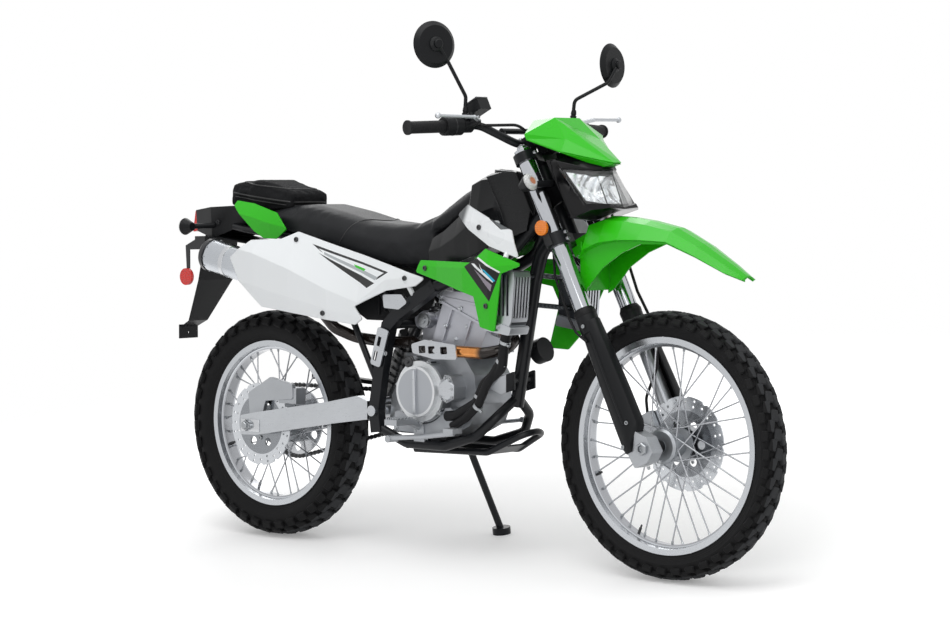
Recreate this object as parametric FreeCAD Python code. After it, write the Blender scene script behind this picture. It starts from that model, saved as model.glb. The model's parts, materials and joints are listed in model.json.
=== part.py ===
import FreeCAD, Part
import math
import os
from FreeCAD import Placement
from FreeCAD import Rotation
from FreeCAD import Vector

# Dual sport motorcycle, parked on its side stand.
# Everything is drawn with the machine upright: x forward, y to its left, z up,
# with the ground point under the rear axle at x = y = z = 0, in millimetres.
# At the end the whole machine leans to the left onto the stand, and the origin
# moves to the middle of its footprint box on the ground.

# Stance
WHEELBASE = 1430.0
RAKE = 26.5
TRAIL = 105.0
LEAN = 8.0

# Wheels and tyres
FRONT_TYRE_R = 351.0
FRONT_TYRE_W = 84.0
FRONT_TYRE_H = 67.0
FRONT_RIM_R = FRONT_TYRE_R - FRONT_TYRE_H
FRONT_RIM_W = 57.0
FRONT_LUGS = 36
REAR_TYRE_R = 329.0
REAR_TYRE_W = 112.0
REAR_TYRE_H = 87.0
REAR_RIM_R = REAR_TYRE_R - REAR_TYRE_H
REAR_RIM_W = 69.0
REAR_LUGS = 32
LUG_H = 11.0
LUG_SHARE = 0.6
CROWN_W = 24.0
FRONT_SPOKES = 36
REAR_SPOKES = 32
SPOKE_R = 2.0
FRONT_AXLE_R = 10.0
FRONT_AXLE_BORE_R = 8.0
REAR_AXLE_R = 8.5
HUB_RUN = 0.1
SIDE_RUN = 0.5
FRONT_DISC_R = 125.0
REAR_DISC_R = 120.0
DISC_T = 4.0
DISC_PETALS = 12
FRONT_DISC_Y = 62.0
REAR_DISC_Y = -76.0

# Chain drive, on the left side
CHAIN_Y = 78.0
CHAIN_PITCH = 15.875
REAR_TEETH = 42
FRONT_TEETH = 14
CHAIN_W = 18.0
CHAIN_PLATE_H = 15.0
ROLLER_R = 5.1
SPROCKET_T = 5.5
DRIVE_X = 556.0
DRIVE_Z = 402.0

# Fork, in its own axes: n forward of the steering axis, s up along it
FORK_Y = 97.0
FORK_N = 28.0
FORK_TUBE_R = 24.0
SLIDER_R = 20.0
TUBE_BOTTOM_S = 735.0
TUBE_TOP_S = 1236.0
LOWER_CLAMP_S = 952.0
LOWER_CLAMP_H = 36.0
UPPER_CLAMP_S = 1200.0
UPPER_CLAMP_H = 26.0
STEM_R = 15.0
STEM_RUN = 0.1
HEAD_R = 27.0
HEAD_GAP = 0.5

# Handlebar
BAR_HALF = 408.0
BAR_R = 11.0
GRIP_S = 1346.0
GRIP_N = -62.0
GRIP_L = 118.0
GRIP_R = 16.5

# Swingarm
PIVOT_X = 494.0
PIVOT_Z = 398.0
PIVOT_R = 8.0
ARM_OUT_Y = 128.0
ARM_IN_Y = 99.0

# Distance of the front fender's inner skirts from the middle
FENDER_LEG_Y = 62.0

# Turn signals
SIGNAL_R = 25.0

# Back of the lamp's room, ahead of the steering axis
LAMP_BACK_N = 104.0

# Half width of the engine's front mounting lug between its two hangers
LUG_Y = 40.0

# Side stand
STAND_X = 606.0
STAND_Y = 131.0
STAND_Z = 318.0
FOOT_X = 655.0
FOOT_Y = 236.0
STAND_LEG_R = 10.0
STAND_PIN_R = 6.0

# Number plate bracket on the foot of the mud flap, for one 6 mm screw
FLAP_END_X = -384.0
PLATE_BAR_W = 74.0
PLATE_BAR_H = 42.0
PLATE_BAR_T = 5.0
PLATE_BAR_Z = 562.0
PLATE_HOLE_R = 3.5

SKIN = 4.0


# Derived stance values
RAKE_RAD = math.radians(RAKE)
LEAN_RAD = math.radians(LEAN)
HEAD_X = WHEELBASE + TRAIL
AXLE_S = TRAIL * math.sin(RAKE_RAD) + FRONT_TYRE_R * math.cos(RAKE_RAD)
AXLE_N = FRONT_TYRE_R * math.sin(RAKE_RAD) - TRAIL * math.cos(RAKE_RAD)
FRONT_AXLE = Vector(WHEELBASE, 0, FRONT_TYRE_R)
REAR_AXLE = Vector(0, 0, REAR_TYRE_R)
FORK_PLACE = Placement(Vector(HEAD_X, 0, 0), Rotation(Vector(0, 1, 0), -RAKE))
AXIS_Y = Vector(0, 1, 0)
AXIS_Z = Vector(0, 0, 1)


def fork_point(n, y, s):
    """Point of the machine for fork coordinates n, y, s."""
    return FORK_PLACE.multVec(Vector(n, y, s))


def on_fork(shape):
    """Shape drawn in fork coordinates, set on the machine."""
    out = shape.copy()
    out.Placement = FORK_PLACE.multiply(out.Placement)
    return out


def corner_wire(corners, radius):
    """Closed wire through the corners, each rounded by the radius."""
    count = len(corners)
    cuts = []
    for i in range(count):
        here = corners[i]
        back = corners[i - 1] - here
        ahead = corners[(i + 1) % count] - here
        half = back.getAngle(ahead) / 2
        reach = min(radius / math.tan(half), 0.45 * back.Length, 0.45 * ahead.Length)
        if radius <= 0 or half > 1.5:
            cuts.append((here, None, here))
            continue
        first = here + back.normalize() * reach
        last = here + ahead.normalize() * reach
        bisector = (back + ahead).normalize()
        real = reach * math.tan(half)
        middle = here + bisector * (real / math.sin(half) - real)
        cuts.append((first, middle, last))
    edges = []
    for i in range(count):
        first, middle, last = cuts[i]
        if middle is not None:
            edges.append(Part.Arc(first, middle, last).toShape())
        following = cuts[(i + 1) % count][0]
        if last.distanceToPoint(following) > 1e-6:
            edges.append(Part.makeLine(last, following))
    return Part.Wire(edges)


def plate(outline, y0, y1, radius=0.0):
    """Side view outline of (x, z) corners, extruded from y0 to y1."""
    wire = corner_wire([Vector(x, y0, z) for x, z in outline], radius)
    return Part.Face(wire).extrude(Vector(0, y1 - y0, 0))


def slab(outline, z0, z1, radius=0.0):
    """Plan view outline of (x, y) corners, extruded from z0 to z1."""
    wire = corner_wire([Vector(x, y, z0) for x, y in outline], radius)
    return Part.Face(wire).extrude(Vector(0, 0, z1 - z0))


def rod(start, end, radius):
    """Round bar between two points."""
    along = end - start
    return Part.makeCylinder(radius, along.Length, start, along)


def rod_y(x, z, y0, y1, radius):
    """Round bar along y."""
    return rod(Vector(x, y0, z), Vector(x, y1, z), radius)


def bent_tube(points, radius, bend):
    """Round tube through the points, with tangent bends."""
    path = [Vector(*p) for p in points]
    edges = []
    start = path[0]
    for i in range(1, len(path) - 1):
        back = path[i - 1] - path[i]
        ahead = path[i + 1] - path[i]
        half = back.getAngle(ahead) / 2
        reach = min(bend / math.tan(half), 0.45 * back.Length, 0.45 * ahead.Length)
        real = reach * math.tan(half)
        first = path[i] + back.normalize() * reach
        last = path[i] + ahead.normalize() * reach
        bisector = (back + ahead).normalize()
        middle = path[i] + bisector * (real / math.sin(half) - real)
        edges.append(Part.makeLine(start, first))
        edges.append(Part.Arc(first, middle, last).toShape())
        start = last
    edges.append(Part.makeLine(start, path[-1]))
    ring = Part.Wire(Part.makeCircle(radius, path[0], path[1] - path[0]))
    return Part.Wire(edges).makePipeShell([ring], True, False)


def turned(profile, place):
    """Solid of revolution about y from (y, r) corners, centred at a place."""
    corners = [Vector(r, y, 0) for y, r in profile]
    face = Part.Face(Part.makePolygon(corners + corners[:1]))
    solid = face.revolve(Vector(0, 0, 0), AXIS_Y, 360)
    solid.translate(place)
    return solid


def loft(sections, ruled=True):
    """Solid through closed sections, each a list of points with equal counts."""
    wires = []
    for section in sections:
        corners = [Vector(*p) for p in section]
        wires.append(Part.makePolygon(corners + corners[:1]))
    return Part.makeLoft(wires, True, ruled)


def faceted_sheet(points, faces, thickness):
    """Sheet of flat facets over the points, given a thickness along a vector."""
    top = [Vector(*p) for p in points]
    low = [p + thickness for p in top]
    triangles = []
    edge_count = {}
    for face in faces:
        for i in range(1, len(face) - 1):
            a, b, c = face[0], face[i], face[i + 1]
            triangles.append((top[a], top[b], top[c]))
            triangles.append((low[a], low[c], low[b]))
        for i in range(len(face)):
            pair = (face[i], face[(i + 1) % len(face)])
            edge_count[pair] = True
    for a, b in edge_count:
        if (b, a) not in edge_count:
            triangles.append((top[a], low[b], top[b]))
            triangles.append((top[a], low[a], low[b]))
    sides = [Part.Face(Part.makePolygon([a, b, c, a])) for a, b, c in triangles]
    solid = Part.Solid(Part.Shell(sides))
    if solid.Volume < 0:
        solid.reverse()
    return solid.removeSplitter()


def mirrored(shape):
    """The same piece on the other side of the machine."""
    return shape.mirror(Vector(0, 0, 0), AXIS_Y)


def fused(shapes):
    """One solid from pieces that meet."""
    return shapes[0].multiFuse(shapes[1:]).removeSplitter()


def beam(path, width, y0, y1, radius=0.0):
    """Straight-sided member: a path of (x, z) points given a width in side view."""
    left = []
    right = []
    count = len(path)
    for i in range(count):
        here = Vector(path[i][0], 0, path[i][1])
        before = Vector(path[max(i - 1, 0)][0], 0, path[max(i - 1, 0)][1])
        after = Vector(path[min(i + 1, count - 1)][0], 0, path[min(i + 1, count - 1)][1])
        one = (here - before) if i > 0 else (after - here)
        two = (after - here) if i < count - 1 else one
        one.normalize()
        two.normalize()
        normal = (one + two).normalize().cross(AXIS_Y)
        stretch = 1 / max(one.cross(AXIS_Y).dot(normal), 0.5)
        left.append(here + normal * (width / 2 * stretch))
        right.append(here - normal * (width / 2 * stretch))
    outline = [(p.x, p.z) for p in left + right[::-1]]
    return plate(outline, y0, y1, radius)


def ground_below():
    """Everything under the floor that the leaning machine stands on."""
    dip = CROWN_W / 2 * math.sin(LEAN_RAD)
    block = Part.makeBox(3000, 1600, 200, Vector(-700, -800, -200 - dip))
    block.rotate(Vector(0, 0, 0), Vector(1, 0, 0), LEAN)
    return block


MADE = {}


def made(make):
    """Shape from a node's function, built only once."""
    if make not in MADE:
        MADE[make] = make()
    return MADE[make]


def largest(shape):
    """Biggest solid of a cut shape, without the chips."""
    return max(shape.Solids, key=lambda solid: solid.Volume)


# Wheels


def tyre_section(radius, width, rim_r, rim_w):
    """Right half of a tyre's section as (y, r) corners from the bead to the crown, without lugs."""
    half = width / 2
    bead = rim_w / 2 - 5
    shoulder = radius - 0.24 * half
    return [(bead, rim_r - 11.5), (bead + 3, rim_r + 3), (half, (rim_r + shoulder) / 2 + 4),
            (half - 1, shoulder - 0.8 * LUG_H), (half * 0.52, radius - 0.1 * half - LUG_H), (CROWN_W / 2, radius - LUG_H)]


def lug_top(y, radius, half):
    """Radius of the lugs' tops at a distance y from the middle of the tyre."""
    slope = 0.24 * half / (half - 1 - CROWN_W / 2)
    return radius - slope * max(abs(y) - CROWN_W / 2, 0)


def tyre(radius, width, rim_r, rim_w, axle, lugs):
    """Knobbly tyre: a faceted ring whose tread cells stand up as three rows of lugs."""
    section = tyre_section(radius, width, rim_r, rim_w)
    half = width / 2
    ring = section + [(-y, r) for y, r in reversed(section)]
    shoulder_row = len(section) - 3
    raised = (shoulder_row, len(section) - 1, len(ring) - 2 - shoulder_row)
    pitch = 2 * math.pi / lugs
    turns = []
    for i in range(lugs):
        middle = -math.pi / 2 + i * pitch
        turns += [middle - pitch * LUG_SHARE / 2, middle + pitch * LUG_SHARE / 2]
    flat = math.cos(pitch * max(LUG_SHARE, 1 - LUG_SHARE) / 2)

    def at(y, r, turn):
        reach = r / flat
        return Vector(reach * math.cos(turn), y, reach * math.sin(turn))

    quads = []
    for i in range(2 * lugs):
        one = turns[i]
        two = turns[(i + 1) % (2 * lugs)]
        for j in range(len(ring)):
            left = ring[j]
            right = ring[(j + 1) % len(ring)]
            base = [at(*left, one), at(*right, one), at(*right, two), at(*left, two)]
            if i % 2 or j not in raised:
                quads.append(base)
                continue
            left_top = (left[0], lug_top(left[0], radius, half))
            right_top = (right[0], lug_top(right[0], radius, half))
            top = [at(*left_top, one), at(*right_top, one), at(*right_top, two), at(*left_top, two)]
            quads.append(top)
            for k in range(4):
                after = (k + 1) % 4
                quads.append([base[k], base[after], top[after], top[k]])
    sides = []
    for quad in quads:
        sides.append(Part.Face(Part.makePolygon(quad + quad[:1])))
    solid = Part.Solid(Part.Shell(sides))
    if solid.Volume < 0:
        solid.reverse()
    solid.translate(axle)
    return solid


def rim_ring(rim_r, rim_w):
    """Rim section as (y, r) corners, with its flanges and drop centre."""
    half = rim_w / 2
    side = [(half, rim_r), (half - 2.5, rim_r), (half - 4, rim_r - 12)]
    side += [(half - 16, rim_r - 13), (half - 19, rim_r - 20)]
    inner = [(half, rim_r - 16), (half - 14, rim_r - 19), (half - 17, rim_r - 26)]
    top = side[::1] + [(-y, r) for y, r in reversed(side)]
    bottom = [(-y, r) for y, r in inner] + list(reversed(inner))
    return top + bottom


def spokes(count, hub_y, hub_r, rim_r, slant):
    """Laced spokes between the hub flanges and the rim."""
    bars = []
    for i in range(count):
        side = 1 if i % 2 else -1
        lace = slant if (i // 2) % 2 else -slant
        angle = 2 * math.pi * i / count
        root = angle + lace
        start = Vector(hub_r * math.cos(root), side * hub_y, hub_r * math.sin(root))
        end = Vector(rim_r * math.cos(angle), side * 5, rim_r * math.sin(angle))
        bars.append(rod(start, end, SPOKE_R))
    return bars


def wire_wheel(rim_r, rim_w, hub, hub_y, hub_r, count, axle):
    """Rim, laced spokes and hub joined as one wheel."""
    pieces = [turned(rim_ring(rim_r, rim_w), Vector(0, 0, 0)), hub]
    pieces += spokes(count, hub_y, hub_r, rim_r - 21, math.radians(62))
    wheel = pieces[0].multiFuse(pieces[1:])
    wheel.translate(axle)
    return wheel


def front_hub():
    """Front hub with its spoke flanges and brake disc seat."""
    bore = FRONT_AXLE_R + HUB_RUN
    face = FRONT_DISC_Y - DISC_T / 2
    right = [(-58, bore), (-58, 17), (-46, 17), (-46, 40), (-40, 46), (-30, 46), (-27, 31)]
    left = [(26, 31), (30, 46), (37, 46), (40, 34), (face, 34), (face, bore)]
    return turned(right + left, Vector(0, 0, 0))


def rear_hub():
    """Rear hub with its spoke flanges, disc seat and sprocket carrier."""
    bore = REAR_AXLE_R + HUB_RUN
    right_face = REAR_DISC_Y + DISC_T / 2
    left_face = CHAIN_Y - SPROCKET_T / 2
    right = [(right_face, bore), (right_face, 38), (-44, 38), (-42, 52), (-35, 52), (-32, 36)]
    left = [(30, 36), (33, 56), (44, 56), (48, 62), (left_face, 62), (left_face, bore)]
    return turned(right + left, Vector(0, 0, 0))


def brake_disc(radius, seat_r, bore, y, axle):
    """Petal brake disc with two drilled rows and the windows of its carrier."""
    disc = turned([(y - DISC_T / 2, bore), (y + DISC_T / 2, bore),
                   (y + DISC_T / 2, radius), (y - DISC_T / 2, radius)], Vector(0, 0, 0))
    rings = [(6, 0, seat_r + 20, 12), (DISC_PETALS, 0, radius + 4, 9)]
    rings += [(DISC_PETALS, 0, radius - 16, 3.5), (DISC_PETALS, 0.5, radius - 9, 3.5), (DISC_PETALS, 0.5, radius - 24, 3.5)]
    cuts = []
    for count, offset, reach, hole_r in rings:
        for i in range(count):
            hole = Part.makeCylinder(hole_r, 3 * DISC_T, Vector(reach, y - 1.5 * DISC_T, 0), AXIS_Y)
            hole.rotate(Vector(0, 0, 0), AXIS_Y, 360 * (i + offset) / count)
            cuts.append(hole)
    disc = disc.cut(cuts)
    disc.translate(axle)
    return disc


def make_front_wheel():
    hub = front_hub()
    return wire_wheel(FRONT_RIM_R, FRONT_RIM_W, hub, 33.5, 43, FRONT_SPOKES, FRONT_AXLE)


def make_rear_wheel():
    hub = rear_hub()
    return wire_wheel(REAR_RIM_R, REAR_RIM_W, hub, 38.5, 50, REAR_SPOKES, REAR_AXLE)


def sprocket_r(teeth):
    """Pitch radius of a chain sprocket."""
    return CHAIN_PITCH / 2 / math.sin(math.pi / teeth)


def make_rear_sprocket():
    pitch = sprocket_r(REAR_TEETH)
    tip = pitch - ROLLER_R - 0.6
    half = SPROCKET_T / 2
    bore = REAR_AXLE_R + HUB_RUN
    ring = turned([(CHAIN_Y - half, bore), (CHAIN_Y + half, bore),
                   (CHAIN_Y + half, tip), (CHAIN_Y - half, tip)], Vector(0, 0, 0))
    windows = []
    for i in range(6):
        hole = Part.makeCylinder(13, 3 * SPROCKET_T, Vector(77, CHAIN_Y - 8, 0), AXIS_Y)
        hole.rotate(Vector(0, 0, 0), AXIS_Y, 60 * i + 30)
        windows.append(hole)
    ring = ring.cut(windows)
    ring.translate(REAR_AXLE)
    return ring


def make_chain():
    """Closed chain loop round both sprockets, in its outline."""
    big = sprocket_r(REAR_TEETH)
    small = sprocket_r(FRONT_TEETH)
    span = Vector(DRIVE_X, 0, DRIVE_Z - REAR_TYRE_R)
    slope = math.atan2(span.z, span.x)
    spread = math.acos((big - small) / span.Length)

    def belt(offset, y0, y1):
        points = []
        for centre, radius, turn in ((REAR_AXLE, big, 1), (REAR_AXLE + span, small, 1)):
            points.append((centre, radius + offset))
        upper = slope + spread
        lower = slope - spread

        def at(index, angle):
            centre, radius = points[index]
            return Vector(centre.x + radius * math.cos(angle), y0, centre.z + radius * math.sin(angle))
        back = slope + math.pi
        edges = [Part.makeLine(at(0, upper), at(1, upper)),
                 Part.Arc(at(1, upper), at(1, slope), at(1, lower)).toShape(),
                 Part.makeLine(at(1, lower), at(0, lower)),
                 Part.Arc(at(0, lower), at(0, back), at(0, upper)).toShape()]
        return Part.Face(Part.Wire(edges)).extrude(Vector(0, y1 - y0, 0))

    low = CHAIN_Y - CHAIN_W / 2
    high = CHAIN_Y + CHAIN_W / 2
    half = CHAIN_PLATE_H / 2
    loop = belt(half, low, high).cut(belt(-half, low - 1, high + 1))
    inner = SPROCKET_T / 2 + 1.0
    groove = belt(-ROLLER_R, CHAIN_Y - inner, CHAIN_Y + inner)
    return loop.cut(groove)


def drive_sprocket():
    """Small sprocket on the gearbox shaft."""
    tip = sprocket_r(FRONT_TEETH) - ROLLER_R - 0.3
    half = SPROCKET_T / 2
    wheel = rod_y(DRIVE_X, DRIVE_Z, CHAIN_Y - half, CHAIN_Y + half, tip)
    shaft = rod_y(DRIVE_X, DRIVE_Z, 60, CHAIN_Y + half + 6, 11)
    return [wheel, shaft]


# Steering pieces, drawn in fork coordinates


def clamp_plate(s0, height, reach):
    """Clamp that holds both fork tubes and the stem."""
    pieces = [Part.makeCylinder(30, height, Vector(0, 0, s0), AXIS_Z)]
    for side in (-1, 1):
        pieces.append(Part.makeCylinder(FORK_TUBE_R + reach, height, Vector(FORK_N, side * FORK_Y, s0), AXIS_Z))
    web = [(-24, -30), (FORK_N - 26, -FORK_Y), (FORK_N + 26, -FORK_Y), (34, -30),
           (34, 30), (FORK_N + 26, FORK_Y), (FORK_N - 26, FORK_Y), (-24, 30)]
    pieces.append(slab(web, s0, s0 + height))
    body = fused(pieces)
    for side in (-1, 1):
        body = body.cut(Part.makeCylinder(FORK_TUBE_R, height + 2, Vector(FORK_N, side * FORK_Y, s0 - 1), AXIS_Z))
    return body


def riser(side):
    """Handlebar clamp on the upper plate."""
    top = UPPER_CLAMP_S + UPPER_CLAMP_H
    return Part.makeBox(34, 26, bar_centre_s() + 16 - top, Vector(bar_centre_n() - 17, side * 46 - 13, top))


def bar_centre_n():
    return 8.0


def bar_centre_s():
    return UPPER_CLAMP_S + UPPER_CLAMP_H + 38


def bar_path():
    """Handlebar centre line from right end to left end."""
    half = [(bar_centre_n(), 80, bar_centre_s()), (bar_centre_n() - 26, 175, GRIP_S - 12),
            (GRIP_N, BAR_HALF, GRIP_S)]
    return [(n, -y, s) for n, y, s in reversed(half)] + half


def bar_tube(radius):
    return bent_tube(bar_path(), radius, 70)


def make_triple_clamps():
    lower = clamp_plate(LOWER_CLAMP_S, LOWER_CLAMP_H, 8)
    upper = clamp_plate(UPPER_CLAMP_S, UPPER_CLAMP_H, 7)
    stem = rod(Vector(0, 0, LOWER_CLAMP_S), Vector(0, 0, UPPER_CLAMP_S + UPPER_CLAMP_H + 8), STEM_R)
    body = fused([lower, upper, stem, riser(-1), riser(1)])
    return on_fork(body.cut(bar_tube(BAR_R)))


def make_fork_tubes():
    tubes = []
    for side in (-1, 1):
        tube = Part.makeCylinder(FORK_TUBE_R, TUBE_TOP_S - TUBE_BOTTOM_S,
                                 Vector(FORK_N, side * FORK_Y, TUBE_BOTTOM_S), AXIS_Z)
        cap = Part.makeCylinder(14, 8, Vector(FORK_N, side * FORK_Y, TUBE_TOP_S), AXIS_Z)
        tubes.append(tube.fuse(cap))
    return on_fork(Part.makeCompound(tubes))


def axle_holder(side):
    """Cast foot of one fork leg, which carries the axle ahead of the leg."""
    outer = side * (FORK_Y + 24)
    inner = side * (FORK_Y - 22)
    outline = [(FORK_N - 22, AXLE_S + 62), (FORK_N + 20, AXLE_S + 62), (AXLE_N + 22, AXLE_S + 22),
               (AXLE_N + 24, AXLE_S - 20), (AXLE_N - 4, AXLE_S - 38), (FORK_N - 12, AXLE_S - 36)]
    return plate(outline, inner, outer, 8)


def make_fork_sliders():
    legs = []
    for side in (-1, 1):
        leg = Part.makeCylinder(SLIDER_R, TUBE_BOTTOM_S - AXLE_S - 30,
                                Vector(FORK_N, side * FORK_Y, AXLE_S + 30), AXIS_Z)
        foot = axle_holder(side)
        bore = rod_y(AXLE_N, AXLE_S, -BAR_HALF, BAR_HALF, FRONT_AXLE_R)
        legs.append(fused([leg, foot]).cut(bore))
    return on_fork(Part.makeCompound(legs))


def make_fork_guards():
    """Black guard wrapped round the front and outside of each slider."""
    guards = []
    for side in (-1, 1):
        y = side * FORK_Y
        out = side * (SLIDER_R + 14)
        low = [(FORK_N - 30, y + out * 0.3), (FORK_N - 20, y + out * 0.9), (FORK_N + 14, y + out),
               (FORK_N + 46, y + out * 0.7), (FORK_N + 48, y - out * 0.2)]
        sections = []
        for s, grow in ((AXLE_S + 50, 1.0), (AXLE_S + 75, 1.0), (TUBE_BOTTOM_S - 80, 0.86), (TUBE_BOTTOM_S - 4, 0.74)):
            ring = [(FORK_N + (n - FORK_N) * grow, y + (w - y) * grow, s) for n, w in low]
            inner = [(FORK_N + (n - FORK_N) * grow * 0.86, y + (w - y) * grow * 0.86, s) for n, w in reversed(low)]
            sections.append(ring + inner)
        collar = Part.makeCylinder(FORK_TUBE_R + 6, 58, Vector(FORK_N, y, TUBE_BOTTOM_S - 34), AXIS_Z)
        bolt = rod(Vector(FORK_N + 26, y - 14, TUBE_BOTTOM_S - 22), Vector(FORK_N + 26, y + 14, TUBE_BOTTOM_S - 22), 9)
        guard = fused([loft(sections), collar, bolt])
        guard = guard.cut(Part.makeCylinder(SLIDER_R + 0.2, TUBE_BOTTOM_S, Vector(FORK_N, y, 0), AXIS_Z))
        guard = guard.cut(Part.makeCylinder(FORK_TUBE_R, 200, Vector(FORK_N, y, TUBE_BOTTOM_S), AXIS_Z))
        guards.append(guard.cut(axle_holder(side)))
    return on_fork(Part.makeCompound(guards))


def make_front_axle():
    end = FORK_Y + 26
    bar = rod_y(AXLE_N, AXLE_S, -end, end, FRONT_AXLE_R)
    head = rod_y(AXLE_N, AXLE_S, end, end + 7, FRONT_AXLE_R + 5)
    bore = rod_y(AXLE_N, AXLE_S, -end - 1, end + 8, FRONT_AXLE_BORE_R)
    sleeves = []
    for start, stop in ((-(FORK_Y - 22), -58 - SIDE_RUN), (FRONT_DISC_Y + DISC_T / 2 + SIDE_RUN, FORK_Y - 22)):
        sleeves.append(rod_y(AXLE_N, AXLE_S, start, stop, 15))
    return on_fork(fused([bar, head] + sleeves).cut(bore))


def make_handlebar():
    cross_s = bar_centre_s() + 44
    cross = rod(Vector(bar_centre_n() - 8, -118, cross_s), Vector(bar_centre_n() - 8, 118, cross_s), 8)
    posts = []
    for side in (-1, 1):
        low = Vector(bar_centre_n() - 8, side * 112, bar_centre_s() + 14)
        posts.append(rod(low, Vector(bar_centre_n() - 8, side * 112, cross_s), 7))
    return on_fork(fused([bar_tube(BAR_R), cross] + posts))


def grip_point(y):
    """Point on the handlebar's straight end run at a distance y from the middle."""
    inner = bar_path()[-2]
    share = (y - inner[1]) / (BAR_HALF - inner[1])
    return Vector(inner[0] + (GRIP_N - inner[0]) * share, y, inner[2] + (GRIP_S - inner[2]) * share)


def grip_side(shape, side):
    return shape if side > 0 else mirrored(shape)


def make_grips():
    parts = []
    for side in (-1, 1):
        end = grip_point(BAR_HALF + 4)
        start = grip_point(BAR_HALF - GRIP_L)
        sleeve = rod(start, end, GRIP_R)
        flange = rod(start, grip_point(BAR_HALF - GRIP_L + 5), GRIP_R + 8)
        rim = rod(grip_point(BAR_HALF - 1), end, GRIP_R + 3)
        grip = fused([sleeve, flange, rim]).cut(bar_tube(BAR_R))
        parts.append(grip_side(grip, side))
    return on_fork(Part.makeCompound(parts))


def make_hand_controls():
    """Switch housings, levers and perches on both sides, and the brake reservoir."""
    parts = []
    for side in (-1, 1):
        start = grip_point(BAR_HALF - GRIP_L - 50)
        end = grip_point(BAR_HALF - GRIP_L - 0.4)
        housing = rod(start, end, 25)
        perch_at = grip_point(BAR_HALF - GRIP_L - 84)
        perch = rod(perch_at, grip_point(BAR_HALF - GRIP_L - 56), 19)
        pivot = perch_at + Vector(40, 8, -6)
        arm = rod(perch_at + Vector(0, 14, 0), pivot, 9)
        bend = pivot + Vector(20, 40, 0)
        tip = pivot + Vector(8, 168, 8)
        blades = [rod(pivot, bend, 5.5), rod(bend, tip, 4.5), Part.makeSphere(5.5, bend), Part.makeSphere(8, tip)]
        group = [perch, arm] + blades
        if side < 0:
            low = perch_at + Vector(12, -40, 22)
            cup = Part.makeBox(44, 44, 30, low)
            group += [cup, rod(perch_at + Vector(22, 8, 0), perch_at + Vector(22, 8, 24), 10)]
        lever = fused(group).cut(bar_tube(BAR_R))
        parts.append(grip_side(housing.cut(bar_tube(BAR_R)), side))
        parts.append(grip_side(lever, side))
    return on_fork(Part.makeCompound(parts))


def mirror_head(side):
    """Centre of a mirror and the way its back faces, in machine axes."""
    centre = Vector(900, side * 330, 1395) if side < 0 else Vector(975, side * 330, 1358)
    yaw = math.radians(-19 if side < 0 else 6)
    return centre, Vector(math.cos(yaw), math.sin(yaw), 0.06).normalize()


def make_mirrors():
    parts = []
    for side in (-1, 1):
        centre, back = mirror_head(side)
        shell = Part.makeCone(62, 50, 12, centre, back)
        seat = grip_point(BAR_HALF - GRIP_L - 62)
        root = fork_point(seat.x + 12, side * seat.y, seat.z + 15)
        knee = Vector(root.x + 6, side * (abs(root.y) + 2), root.z + 58)
        hold = centre + back * 20
        via = hold + Vector(0, -side * 44, -50)
        arm = bent_tube([tuple(root), tuple(knee), tuple(via), tuple(hold)], 5, 20)
        joint = rod(hold - back * 8, hold + back * 6, 9)
        parts.append(fused([shell, arm, joint]))
    return Part.makeCompound(parts).cut(made(make_hand_controls))


def make_mirror_glass():
    parts = []
    for side in (-1, 1):
        centre, back = mirror_head(side)
        parts.append(rod(centre - back * 3, centre, 58))
    return Part.makeCompound(parts).cut(made(make_mirrors))


def fender_section(n, s, half, drop, side_drop, skirt):
    """Closed section of the front fender: a flat top, sloping sides and an inner skirt."""
    top = half * 0.62
    leg = min(FENDER_LEG_Y, half - 10)
    t = SKIN
    outer = [(skirt, -leg), (side_drop + 3, -leg), (side_drop, -half), (drop, -top), (0, -top * 0.3)]
    inner = [(skirt, t - leg), (side_drop - t, t - leg), (drop + t, t - top), (t, -top * 0.3)]
    path = outer + [(d, -y) for d, y in reversed(outer)]
    back = inner + [(d, -y) for d, y in reversed(inner)]
    down = math.tan(RAKE_RAD)
    return [(n - d * down, y, s - d) for d, y in path + back[::-1]]


def make_front_fender():
    """High front fender with its skirts, and the mud wall behind the wheel."""
    stations = [(72, 947, 72, 6, 40, 126), (110, 984, 80, 8, 66, 162), (168, 974, 82, 9, 62, 122),
                (220, 944, 81, 9, 52, 84), (274, 908, 78, 9, 44, 54), (342, 855, 70, 8, 32, 38),
                (398, 782, 62, 7, 26, 31), (451, 700, 48, 6, 19, 23), (480, 652, 30, 4, 9, 13)]
    blade = loft([fender_section(*station) for station in stations])
    neck = Part.makeBox(96, 60, 40, Vector(14, -30, LOWER_CLAMP_S - 25))
    mount = neck.cut(clamp_plate(LOWER_CLAMP_S, LOWER_CLAMP_H, 8))
    wall = beam([(1180, 878), (1180, 748)], SKIN, -FENDER_LEG_Y, FENDER_LEG_Y)
    wall.Placement = FORK_PLACE.inverse().multiply(wall.Placement)
    body = fused([blade, mount, wall])
    for side in (-1, 1):
        body = body.cut(Part.makeCylinder(FORK_TUBE_R + 1, 900, Vector(FORK_N, side * FORK_Y, 500), AXIS_Z))
    return on_fork(largest(body))


def lens_sheet(back, front):
    """Lens surface as a sheet from a distance behind it to one ahead of it."""
    right = [(132, -112, 1132), (160, -104, 1012), (188, -42, 1098), (186, -44, 990)]
    left = [(n, -y, s) for n, y, s in right]
    points = [(n + back, y, s) for n, y, s in right + left + [(206, 0, 1088), (198, 0, 982)]]
    faces = [(0, 1, 3, 2), (2, 3, 9, 8), (8, 9, 7, 6), (6, 7, 5, 4)]
    return faceted_sheet(points, faces, Vector(front - back, 0, 0))


def make_headlight_lens():
    """Clear front lens, wrapped over the lamp."""
    return on_fork(lens_sheet(-5, 0))


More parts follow.
